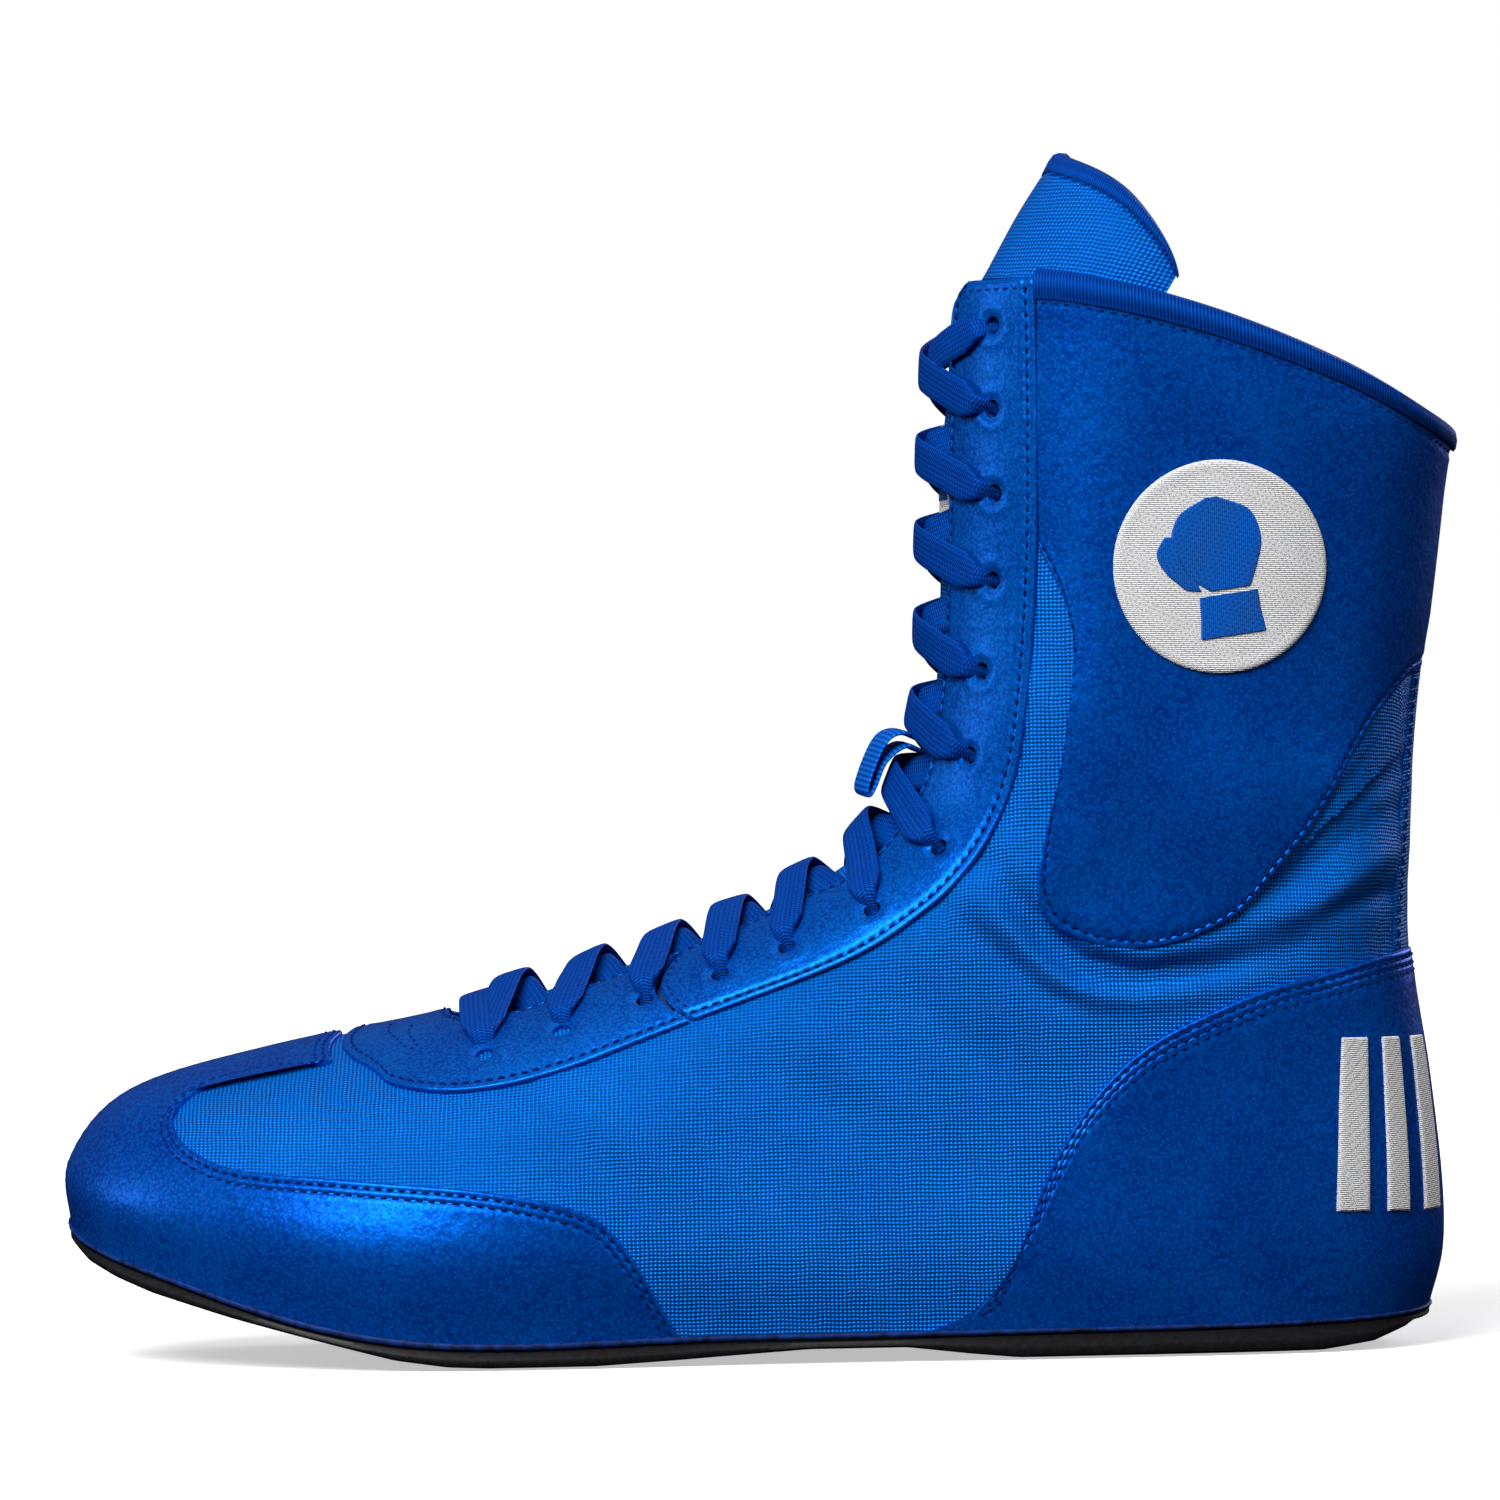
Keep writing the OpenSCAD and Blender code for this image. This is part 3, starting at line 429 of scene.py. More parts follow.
def leather_piece(name, panel, finish, rows=(), rows_b=(), round_b=False, round_ends=False, top=0.0,
                  thick=LEATHER, swell=0.0, strength=0.25, extra=None):
    base = ring(panel.t, panel.p)
    n = outward(panel.t, panel.p)
    run = panel.run[:, None]
    d = top + rounded(panel.s) + sewn(panel.s, run, rows) + sewn(panel.to_b, run, rows_b)
    if round_b:
        d = d + rounded(panel.to_b)
    if round_ends:
        d = d + rounded(panel.to_ends)
    inner = np.clip(np.minimum(panel.s, panel.to_b) / 11, 0, 1)
    d = d + swell * waves(base) * inner + strength * creases(base) * np.clip(panel.s / 3, 0, 1)
    if extra is not None:
        d = d + extra(base)
    low = np.minimum(top - thick + 0 * d, d - 0.35)
    piece = shell(name, base + n * d[..., None], base + n * low[..., None], unroll(panel.t, panel.p), finish)
    return piece


def tubes(name, lines, radii, sides, finish, flat=1.0):
    """Many short closed tubes: lines of points (count, k, 3) with normals, as one piece."""
    points, ups = lines
    count, k = points.shape[:2]
    run = np.gradient(points, axis=1)
    run /= np.linalg.norm(run, axis=-1, keepdims=True)
    side = np.cross(ups, run)
    side /= np.linalg.norm(side, axis=-1, keepdims=True)
    turn = 2 * np.pi * np.arange(sides) / sides
    body = (points[:, :, None] + (np.cos(turn)[:, None] * side[:, :, None]
            + flat * np.sin(turn)[:, None] * ups[:, :, None]) * np.asarray(radii)[None, :, None, None])
    faces = []
    ring_quads = grid_faces(sides, k, closed=True)
    index = (np.arange(k)[:, None] * sides + np.arange(sides)).T.ravel()
    one = index[ring_quads]
    caps = [list(range(sides - 1, -1, -1)), list(range((k - 1) * sides, k * sides))]
    for c in range(count):
        faces += (one + c * k * sides).tolist()
        faces += [[v + c * k * sides for v in cap] for cap in caps]
    piece = build(name, body.reshape(-1, 3), faces, np.zeros((count * k * sides, 2)), finish, 60)
    face_out(piece)
    return piece


def stitches(name, paths, finish, d=-0.12, pitch=PITCH, length=1.75, radius=0.27, skip=0.8):
    """Rows of stitches along (t, p) paths."""
    all_points, all_ups = [], []
    for path in paths:
        path = np.asarray(path, float)
        line = skin(path[:, 0], path[:, 1], 0)
        run = np.concatenate([[0], np.cumsum(np.linalg.norm(np.diff(line, axis=0), axis=1))])
        starts = np.arange(skip, run[-1] - length - 0.3, pitch)
        at = starts[:, None] + length * np.linspace(0, 1, 5)[None]
        t, p = np.interp(at, run, path[:, 0]), np.interp(at, run, path[:, 1])
        lift = d + radius * np.array([-0.9, 0.35, 0.6, 0.35, -0.9])
        all_points.append(skin(t, p, lift[None] + 0 * t))
        all_ups.append(outward(t, p))
    lines = np.concatenate(all_points), np.concatenate(all_ups)
    piece = tubes(name, lines, radius * np.array([0.5, 0.95, 1, 0.95, 0.5]), 6, finish)
    return piece


# ---- Finishes ----

class Finish:
    """A procedural material: nodes are added by kind, inputs by name."""

    def __init__(self, name, **sockets):
        self.material = bpy.data.materials.new(name)
        self.material.use_nodes = True
        self.tree = self.material.node_tree
        self.shader = self.tree.nodes["Principled BSDF"]
        for socket, value in sockets.items():
            self.shader.inputs[socket.replace("_", " ")].default_value = value

    def add(self, kind, *inputs, **settings):
        node = self.tree.nodes.new("ShaderNode" + kind)
        for key, value in settings.items():
            if key in node.inputs and not hasattr(node, key):
                self.feed(node.inputs[key], value)
            else:
                setattr(node, key, value)
        for socket, value in zip(node.inputs, inputs):
            if value is not None:
                self.feed(socket, value)
        return node

    def feed(self, socket, value):
        if isinstance(value, bpy.types.Node):
            value = next(out for out in value.outputs if out.enabled)
        if isinstance(value, bpy.types.NodeSocket):
            self.tree.links.new(value, socket)
        else:
            socket.default_value = value

    def math(self, operation, a, b=None, c=None):
        return self.add("Math", a, b, c, operation=operation)

    def cut(self):
        """The piece's own pattern coordinates, in metres."""
        return self.add("UVMap", uv_map="cut")

    def parts(self, vector):
        split = self.add("SeparateXYZ", vector)
        return split.outputs[0], split.outputs[1]

    def mix(self, factor, a, b):
        node = self.tree.nodes.new("ShaderNodeMix")
        node.data_type = "RGBA"
        self.feed(node.inputs[0], factor)
        self.feed(node.inputs[6], a)
        self.feed(node.inputs[7], b)
        return node.outputs[2]

    def noise(self, vector, scale, detail=2.0, rough=0.5):
        node = self.add("TexNoise", vector)
        node.inputs["Scale"].default_value = scale
        node.inputs["Detail"].default_value = detail
        node.inputs["Roughness"].default_value = rough
        return node.outputs[0]

    def cells(self, vector, scale, feature="F1", smooth=0.5):
        node = self.add("TexVoronoi", vector, feature=feature)
        node.inputs["Scale"].default_value = scale
        if feature == "SMOOTH_F1":
            node.inputs["Smoothness"].default_value = smooth
        return node.outputs["Distance"]

    def ramp(self, value, low, high):
        node = self.tree.nodes.new("ShaderNodeMapRange")
        node.interpolation_type = "SMOOTHSTEP"
        self.feed(node.inputs["Value"], value)
        node.inputs["From Min"].default_value = low
        node.inputs["From Max"].default_value = high
        return node.outputs[0]

    def bump(self, height, distance, strength=1.0, normal=None):
        node = self.tree.nodes.new("ShaderNodeBump")
        node.inputs["Strength"].default_value = strength
        node.inputs["Distance"].default_value = distance
        self.feed(node.inputs["Height"], height)
        if normal is not None:
            self.feed(node.inputs["Normal"], normal)
        return node.outputs[0]

    def out(self, colour=None, normal=None, rough=None):
        for name, value in (("Base Color", colour), ("Normal", normal), ("Roughness", rough)):
            if value is not None:
                self.feed(self.shader.inputs[name], value)
        return self.material


def colour(red, green, blue):
    return (red, green, blue, 1.0)


SKY_TINT = colour(0.04, 0.42, 1.0)


def leather(name, deep, high, grain=1250.0, depth=0.0004, rough=0.34, level=0.5, metal=0.5):
    f = Finish(name, Specular_IOR_Level=level, Specular_Tint=SKY_TINT, Metallic=metal)
    at = f.add("TexCoord").outputs["Object"]
    pebble = f.cells(at, grain, "SMOOTH_F1", 0.25)
    large = f.noise(at, 55.0, 3.0)
    fine = f.noise(at, 2400.0, 2.0)
    # The pebbles' valleys are painted darker, as painted shade in the grain's hollows; the large and fine
    # noises are random tone
    tone = f.math("ADD", f.math("MULTIPLY", f.ramp(pebble, 0.2, 0.75), -0.5), f.math("MULTIPLY", large, 0.7))
    tone = f.math("ADD", tone, f.math("MULTIPLY", fine, 0.45))
    shade = f.mix(f.ramp(tone, -0.25, 0.9), deep, high)
    normal = f.bump(pebble, depth, -1.0)
    normal = f.bump(f.noise(at, 380.0, 3.0), 0.0004, 0.4, normal)
    return f.out(shade, normal, f.math("ADD", f.math("MULTIPLY", fine, 0.2), rough - 0.1))


def woven(name, deep, high, across_mm=0.86, along_mm=0.8, depth=0.00025, rough=0.45, level=0.5, metal=0.3):
    """An open square weave whose colour follows its height: bright knots as painted highlight, with dark
    lines between them as painted shade.
    """
    f = Finish(name, Specular_IOR_Level=level, Specular_Tint=SKY_TINT, Metallic=metal, Roughness=rough)
    u, v = f.parts(f.cut())
    wobble = f.math("MULTIPLY", f.noise(f.cut(), 180.0, 2.0), 0.0007)
    u, v = f.math("ADD", u, wobble), f.math("ADD", v, wobble)
    rows = []
    for place, size in ((u, across_mm), (v, along_mm)):
        wave = f.math("COSINE", f.math("MULTIPLY", place, 2 * math.pi / (size * MM)))
        rows.append(f.math("MULTIPLY_ADD", wave, 0.5, 0.5))
    knots = f.math("MULTIPLY", rows[0], rows[1])
    lines = f.math("MAXIMUM", rows[0], rows[1])
    height = f.math("ADD", f.math("MULTIPLY", knots, 0.7), f.math("MULTIPLY", lines, 0.3))
    uneven = f.math("MULTIPLY_ADD", f.noise(f.cut(), 900.0, 2.0), 0.5, 0.75)
    patch = f.math("MULTIPLY_ADD", f.noise(f.cut(), 45.0, 2.0), 0.6, 0.7)
    # The tone is painted highlight on the raised knots and painted shade in the low gaps, times random tone
    # from uneven and patch
    tone = f.math("MULTIPLY", f.math("MULTIPLY", height, uneven), patch)
    return f.out(f.mix(f.ramp(tone, 0.02, 0.68), deep, high), f.bump(height, depth, 0.9))


def ribbed(name, deep, high, pitch_mm=0.62, slant=0.35, depth=0.00018, rough=0.6, level=0.35):
    """Braid: fine slanting ribs along a lace or tape; u runs across it and v along it."""
    f = Finish(name, Specular_IOR_Level=level, Specular_Tint=SKY_TINT, Roughness=rough, Metallic=0.25)
    u, v = f.parts(f.cut())
    lean = f.math("MULTIPLY", f.math("ABSOLUTE", u), slant)
    wave = f.math("SINE", f.math("MULTIPLY", f.math("ADD", v, lean), 2 * math.pi / (pitch_mm * MM)))
    cross = f.math("SINE", f.math("MULTIPLY", u, 2 * math.pi / (1.05 * MM)))
    height = f.math("ADD", f.math("MULTIPLY_ADD", wave, 0.35, 0.5), f.math("MULTIPLY", cross, 0.15))
    glint_fleck = f.noise(f.cut(), 1500.0, 2.0)
    # The colour follows the ribs' height, with painted shade in the grooves and speckled noise that stands
    # in for the fibres' glints, as painted highlight
    tone = f.math("MULTIPLY", height, f.math("MULTIPLY_ADD", glint_fleck, 0.8, 0.6))
    return f.out(f.mix(f.ramp(tone, 0.05, 0.95), deep, high), f.bump(height, depth, 0.7))


def embroidered(name, deep, high, tint=SKY_TINT, level=0.3):
    """Satin stitches: fine threads side by side, dipping where each one enters the leather, with painted
    shade in the grooves and dips.
    """
    f = Finish(name, Specular_IOR_Level=level, Roughness=0.5, Specular_Tint=tint, Sheen_Weight=0.1)
    u, v = f.parts(f.cut())
    thread = f.math("MULTIPLY", v, 1 / (0.42 * MM))
    wave = f.math("MULTIPLY_ADD", f.math("COSINE", f.math("MULTIPLY", thread, 2 * math.pi)), 0.5, 0.5)
    stagger = f.math("MULTIPLY", f.math("FLOOR", thread), 0.37)
    step = f.math("ADD", f.math("MULTIPLY", u, 1 / (2.6 * MM)), stagger)
    dip = f.ramp(f.math("ABSOLUTE", f.math("SUBTRACT", f.math("FRACT", step), 0.5)), 0.5, 0.34)
    height = f.math("MULTIPLY", f.math("MULTIPLY_ADD", wave, 0.6, 0.4),
                    f.math("MULTIPLY_ADD", dip, 0.55, 0.45))
    # The tone follows the threads' height: painted shade between the threads and in the dips, times random
    # tone
    tone = f.math("MULTIPLY", height, f.math("MULTIPLY_ADD", f.noise(f.cut(), 1200.0, 2.0), 0.5, 0.75))
    return f.out(f.mix(f.ramp(tone, 0.0, 0.62), deep, high), f.bump(height, 0.0003, 0.8))


def plain(name, deep, high, scale=900.0, rough=0.7, level=0.3, depth=0.0001, coords="UV"):
    """Rubber, felt and board: a speckled tone with a fine tooth."""
    f = Finish(name, Specular_IOR_Level=level, Roughness=rough)
    at = f.cut() if coords == "UV" else f.add("TexCoord").outputs["Object"]
    tooth = f.noise(at, scale, 4.0, 0.6)
    return f.out(f.mix(f.ramp(tooth, 0.3, 0.7), deep, high), f.bump(tooth, depth, 0.6))


# The leathers' darker colour lies partly in the grain's valleys, as painted shade
LEATHER_BLUE = leather("grained_leather", colour(0.0, 0.032, 0.3), colour(0.0, 0.108, 0.56))
FACING_BLUE = leather("facing_leather", colour(0.0, 0.04, 0.32), colour(0.0, 0.125, 0.58), 1500.0, 0.00034)
# The mesh colours follow the weave's height: painted highlight on the knots, painted shade between them
MESH_BLUE = woven("upper_mesh", colour(0.0, 0.02, 0.22), colour(0.0, 0.205, 0.78))
TONGUE_BLUE = woven("tongue_mesh", colour(0.0, 0.025, 0.24), colour(0.0, 0.165, 0.68), 0.95, 0.9)
LINING_NAVY = plain("lining_cloth", colour(0.003, 0.02, 0.12), colour(0.006, 0.045, 0.22), 1400.0)
# Braid and tape colours follow the ribs' height: painted shade in the grooves, with painted highlight in
# specks
LACE_BLUE = ribbed("lace_braid", colour(0.0, 0.012, 0.14), colour(0.0, 0.07, 0.44), 0.62, 0.35, 0.00026)
TAPE_BLUE = ribbed("loop_webbing", colour(0.0, 0.05, 0.36), colour(0.003, 0.15, 0.66), 1.1, 0.0, 0.0003)
BINDING_BLUE = ribbed("binding_tape", colour(0.0, 0.014, 0.15), colour(0.0, 0.062, 0.4), 0.8, 0.3, 0.00024)
THREAD_NAVY = plain("seam_thread", colour(0.0, 0.008, 0.07), colour(0.0, 0.025, 0.2),
                    1600.0, 0.7, 0.06, 0.0001,
                    "OBJECT")
# The embroideries' deep colours are painted shade between the threads and in their dips
THREAD_WHITE = embroidered("white_embroidery", colour(0.22, 0.22, 0.25), colour(0.8, 0.8, 0.81),
                           colour(1, 1, 1))
THREAD_BLUE = embroidered("blue_embroidery", colour(0.0, 0.03, 0.24), colour(0.002, 0.1, 0.5))
RUBBER = plain("black_rubber", colour(0.0015, 0.0015, 0.002), colour(0.006, 0.006, 0.009), 700.0, 0.5, 0.3,
               0.00012, "OBJECT")
PIPING = plain("sole_piping", colour(0.0, 0.003, 0.03), colour(0.0, 0.03, 0.2), 1100.0, 0.6, 0.2)
BOARD = plain("insole_fibre", colour(0.28, 0.2, 0.11), colour(0.42, 0.31, 0.18),
              500.0, 0.9, 0.1, 0.0001, "OBJECT")
STIFFENER = plain("stiffener", colour(0.5, 0.45, 0.34), colour(0.62, 0.57, 0.45),
                  400.0, 0.8, 0.2, 0.0001, "OBJECT")

# ---- Seams, as seen from the side ----

TOE_EDGE = [[-15, 6], [-19, 13], [-24, 22], [-31, 30], [-42, 34], [-60, 37], [-84, 39], [-106, 41],
            [-116, 45], [-120, 50], [-118, 54.5], [-110, 59], [-98, 61.5], [-87, 63]]
TOE_EDGE_INNER = [[-84.5, 60.5], [-79, 55], [-68, 49], [-56, 42], [-43, 33], [-31, 23], [-22, 13], [-17, 6]]
COUNTER_EDGE = [[51.5, 9], [54, 17], [57, 26], [60, 34], [65, 44], [72, 54], [82.5, 63.5], [94, 69.5],
                [108, 75], [122, 78.5], [132, 81], [139, 82.5]]
THROAT_INNER = [[-13.5, 84.3], [-33, 77.2], [-47, 72.4], [-57, 70.6], [-61, 71.2]]
THROAT_OUTER = [[-12, 70], [-35, 61.6], [-57, 56.8], [-73, 58], [-81, 62.5]]
CUFF_LOW = [[61.6, 166], [66.5, 155], [68.5, 143], [66.5, 127.5], [62.5, 110], [60, 97], [63, 88.8],
            [74, 84.2], [86, 84.2], [98.5, 88.8], [110, 100], [126.5, 124], [137, 137.5], [141.8, 141]]
CUFF_TOP_X = [61.8, 64, 66.5, 69, 72, 76, 80.5, 86.5, 93, 101, 112, 128, 141, 148.8]
FACING_INNER = [[-12.3, 84.7], [-2, 88.9], [12, 95.2], [20, 98.6], [27, 103.6], [32, 109.5], [36.5, 117],
                [39.3, 125], [41.5, 140], [43, 165], [43.8, 192], [45, 216], [47.5, 222.4]]
FACING_OUTER = [[-11.2, 70.4], [13, 79], [27, 85.3], [37, 92.2], [45.5, 100.3], [51, 108.2], [54.8, 116.5],
                [57.2, 126], [59, 140], [60.8, 164], [61.4, 192], [61.3, 216], [61, 222.2]]
BACKING_OUTER = [[-12, 75.2], [10, 83.3], [23, 89.6], [33, 95.6], [40, 102.4], [46, 110], [50, 118],
                 [52.4, 127], [54, 141], [55.8, 163], [56.2, 192], [56.2, 215], [56, 221]]
EYELETS = [[52.6, 212.8], [52.2, 195.5], [52.5, 178], [51.8, 160], [49.3, 141.3], [46.5, 124],
           [39.9, 105.2], [26, 92.7], [8.2, 85.3], [-5.6, 79.8], [-21.2, 74.6], [-38.5, 68.4], [-54.5, 63.8]]
THROAT_EYELETS = (10, 11, 12)
FACING_EYELETS = range(10)
EYELET_R = 1.9
SIDES = {"lateral": -1, "medial": 1}


def angle_at(x):
    return float(np.degrees(np.arccos(1 - 2 * share(np.array(0.0), x))))


def eyelet_points(side, which):
    tp = seam([EYELETS[i] for i in which], side)
    return tp, skin(tp[:, 0], tp[:, 1], 0)


def eyelet_dimples(side, which):
    """The leather dips towards each punched hole."""
    centres = eyelet_points(side, which)[1]

    def dip(points):
        d = np.zeros(points.shape[:-1])
        for c in centres:
            r = np.linalg.norm(points - c, axis=-1)
            d -= 0.4 * np.exp(-((r - EYELET_R + 0.4).clip(0) / 1.1) ** 2)
            d += 0.16 * np.exp(-((r - EYELET_R - 2.0) / 1.2) ** 2)
        return d
    return dip


def punch(piece, side, which):
    """Real holes through a piece at the given eyelets."""
    tp, at = eyelet_points(side, which)
    way = outward(tp[:, 0], tp[:, 1])
    cutters = []
    for place, n in zip(at, way):
        polar = math.acos(float(n[2]))
        turn = math.atan2(float(n[1]), float(n[0]))
        bpy.ops.mesh.primitive_cylinder_add(vertices=24, radius=EYELET_R * MM, depth=0.008,
                                            location=tuple((place + CENTRE) * MM), rotation=(0, polar, turn))
        cutters.append(bpy.context.object)
    choose(cutters[0])
    for cutter in cutters:
        cutter.select_set(True)
    bpy.ops.object.join()
    cutter = bpy.context.object
    cut = piece.modifiers.new("holes", "BOOLEAN")
    cut.operation, cut.object, cut.solver = "DIFFERENCE", cutter, "EXACT"
    apply_all(piece)
    bpy.data.objects.remove(cutter)
    smooth_shade(piece)


# ---- Sole ----

BOTTOM = np.array([[-145, 28], [-143, 25.5], [-138, 21], [-132, 18], [-124, 15], [-107, 10.2], [-90, 6],
                   [-73, 1.8], [-62, 0.3], [-54, 0], [-32, 0], [-15, 0.9], [12, 2.6], [32, 2.6], [45, 1],
                   [55, 0], [118, 0], [129, 1.4], [136, 4], [140, 6.5], [145, 9]], float)


def sole_section(a):
    """Edge point, centre line and half width of the sole at station angle a."""
    edge = ring(np.zeros_like(a), a)
    middle = mid_y(np.zeros_like(a), a)
    return edge, middle, np.abs(edge[:, 1] - middle)


def tread(x, y):
    """Grooves under the sole: rings round the ball's turning point and bars across the rest."""
    ball = np.hypot(x + 52, (y - 6) * 1.1)
    rings = np.clip(np.cos(2 * np.pi * ball / 6.5), -0.2, 0.6)
    bars = np.clip(np.cos(2 * np.pi * (x + 0.55 * np.abs(y)) / 5.2), -0.2, 0.6)
    return np.where(ball < 34, rings, bars)


def outsole():
    stations = 260
    a = 180 * (np.arange(stations) + 0.5) / stations
    a = np.concatenate([[1.2, 2.4], a[5:-5], [177.6, 178.8]])
    edge, middle, half = sole_section(a)
    x = edge[:, 0]
    floor = np.interp(x, BOTTOM[:, 0], BOTTOM[:, 1])
    top = edge[:, 2] - 0.4
    floor = np.minimum(floor, top - 1.2)
    tall = (top - floor)
    across_top = np.linspace(-1, 1, 9)
    across_low = np.linspace(1, -1, 73)
    rows = []
    for v in across_top:
        rows.append(np.stack([x, middle + v * (half + 0.3), top], -1))
    wall = [(0.25, 0.15), (0.55, 0.45), (0.6, 0.7), (0.35, 0.88), (-0.5, 0.97)]
    for out, down in wall:
        rows.append(np.stack([x, middle + half + out, top - tall * down], -1))
    for v in across_low:
        w = (half - 1.3) * v
        relief = 0.35 * tread(x, middle + w) * np.clip((1 - abs(v)) * half / 3, 0, 1)
        lift = np.where(tall > 2.2, 0.22 - relief, 0)
        rows.append(np.stack([x, middle + w, floor + np.clip(lift, 0, 1)], -1))
    for out, down in reversed(wall):
        rows.append(np.stack([x, middle - half - out, top - tall * down], -1))
    loop = np.stack(rows, 0)
    m = loop.shape[0]
    faces = grid_faces(m, len(x), closed=True).tolist()
    n = len(x)
    faces += [[k * n for k in range(m)], [k * n + n - 1 for k in range(m - 1, -1, -1)]]
    piece = build("outsole_rubber", loop.reshape(-1, 3), faces, loop.reshape(-1, 3)[:, :2] * MM, RUBBER, 35)
    face_out(piece)
    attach(piece, "foot")
    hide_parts("outsole")


def welt():
    """The thin piping where the upper meets the rubber."""
    a = np.linspace(0, 360, 721)[:-1]
    turn = 2 * np.pi * np.arange(10) / 10
    t = 0.03 + 0.036 * np.sin(turn)[None] + 0 * a[:, None]
    d = 0.1 + 0.42 * np.cos(turn)[None] + 0.04 * np.sin(a * 1.9)[:, None]
    points = skin(t, a[:, None] + 0 * t, d)
    faces = []
    n, m = points.shape[:2]
    for i in range(n):
        for j in range(m):
            b, c = (i + 1) % n, (j + 1) % m
            faces.append([i * m + j, b * m + j, b * m + c, i * m + c])
    uv = np.stack([a[:, None] * 0.0008 + 0 * t, d * 0.001], -1)
    piece = build("sole_piping", points.reshape(-1, 3), faces, uv.reshape(-1, 2), PIPING, 70)
    face_out(piece)
    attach(piece, "foot")
    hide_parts("welt_piping")


def footbed():
    """The padded insole, dished a little under the heel and raised at its edge."""
    a = np.linspace(14, 166, 150)
    edge, middle, half = sole_section(a)
    half = half - 7
    x = -0.5 + (edge[:, 0] + 0.5) * (1 - 14 / 284)
    v = np.linspace(-1, 1, 41)[:, None]
    y = middle + v * half
    low = np.broadcast_to(edge[:, 2] + 2.3, y.shape)
    rim = 1 - np.abs(v) ** 6
    top = edge[:, 2] + 2.6 + 2.5 * rim + 0.5 * v ** 2
    xs = np.broadcast_to(x, y.shape)
    uv = np.stack([xs, y], -1) * MM
    piece = shell("footbed_foam", np.stack([xs, y, top], -1), np.stack([xs, y, low], -1), uv, LINING_NAVY)
    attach(piece, "foot")
    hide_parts("footbed")


# ---- Upper ----

def foot_leather(piece, *nodes):
    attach(piece, "foot")
    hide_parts(*nodes)


def toe_cap():
    top = np.concatenate([seam(TOE_EDGE, -1), crest(-85.8), seam(TOE_EDGE_INNER, 1)])
    feet = [-angle_at(x) for x in (-17, -22, -28, -35, -48, -66, -88, -108, -122, -132)]
    feet += [-18, -6, 6, 17]
    feet += [angle_at(x) for x in (-132, -122, -109, -92, -74, -56, -36, -19)]
    panel = Panel(top, [[0.03, a] for a in feet], rows=30)
    piece = leather_piece("toe_cap_leather", panel, LEATHER_BLUE, rows=(1.5, 3.3), swell=0.18)
    foot_leather(piece, "toe_cap")
    rows = stitches("toe_cap_stitching", [panel.row(1.5), panel.row(3.3)], THREAD_NAVY)
    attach(rows, "foot")


def heel_counter():
    top = np.concatenate([back_seam(COUNTER_EDGE, 1), back_seam(COUNTER_EDGE, -1)[::-1]])
    half = [104, 107, 111, 116, 121, 127, 134, 142, 151, 161, 172]
    feet = [[0.03, a] for a in half] + [[0.03, 176], [0.03, 184]] + [[0.03, 360 - a] for a in half[::-1]]
    panel = Panel(top, feet, rows=30)
    piece = leather_piece("heel_counter_leather", panel, LEATHER_BLUE, rows=(1.5, 3.2, 4.7), swell=0.2)
    foot_leather(piece, "heel_counter")
    rows = stitches("heel_counter_stitching", [panel.row(s) for s in (1.5, 3.2, 4.7)], THREAD_NAVY)
    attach(rows, "foot")


def throat():
    n = [crest(-62.5), crest(-83)]
    inner = np.concatenate([seam(THROAT_INNER, -1), n[0], seam(THROAT_INNER, 1)[::-1]])
    outer = np.concatenate([seam(THROAT_OUTER, -1), n[1], seam(THROAT_OUTER, 1)[::-1]])
    panel = Panel(outer, inner, step=0.6, near=NEAR[:10],
                  far=(0, 0.1, 0.3, 0.6, 0.95, 1.2, 1.45, 1.7, 2.1), rows=14)

    def dips(points):
        return sum(eyelet_dimples(side, THROAT_EYELETS)(points) for side in SIDES.values())
    piece = leather_piece("throat_leather", panel, FACING_BLUE, rows=(2.2,), rows_b=(1.3,), round_b=True,
                          swell=0.1, extra=dips)
    for side in SIDES.values():
        punch(piece, side, THROAT_EYELETS)
    foot_leather(piece, "throat_facing")
    tack = curve(seam([[-74.4, 69.4], [-73.6, 66.8], [-70.6, 64.8], [-68.9, 65.6], [-69.3, 69.8]], -1),
                 np.linspace(0, 4, 60))
    paths = [panel.row(2.2), panel.row(1.3, True), tack, tack * [1, -1]]
    rows = stitches("throat_stitching", paths, THREAD_NAVY)
    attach(rows, "foot")
    inner = [[-14, 83.6], [-33, 76.6], [-47, 71.8], [-57, 70], [-61.6, 70.6]]
    outer = [[-13.5, 74.8], [-34.5, 66.8], [-54, 62], [-64, 62.8], [-72, 65.6]]
    ends = [np.concatenate([seam(e, -1), crest(c), seam(e, 1)[::-1]])
            for e, c in ((inner, -63.5), (outer, -75))]
    back = Panel(*ends, step=2, near=(0, 0.5, 1.5), rows=6)
    lining = leather_piece("throat_backing_cloth", back, LINING_NAVY, top=-2.35, thick=0.6)
    for side in SIDES.values():
        punch(lining, side, THROAT_EYELETS)
    foot_leather(lining, "throat_backing")


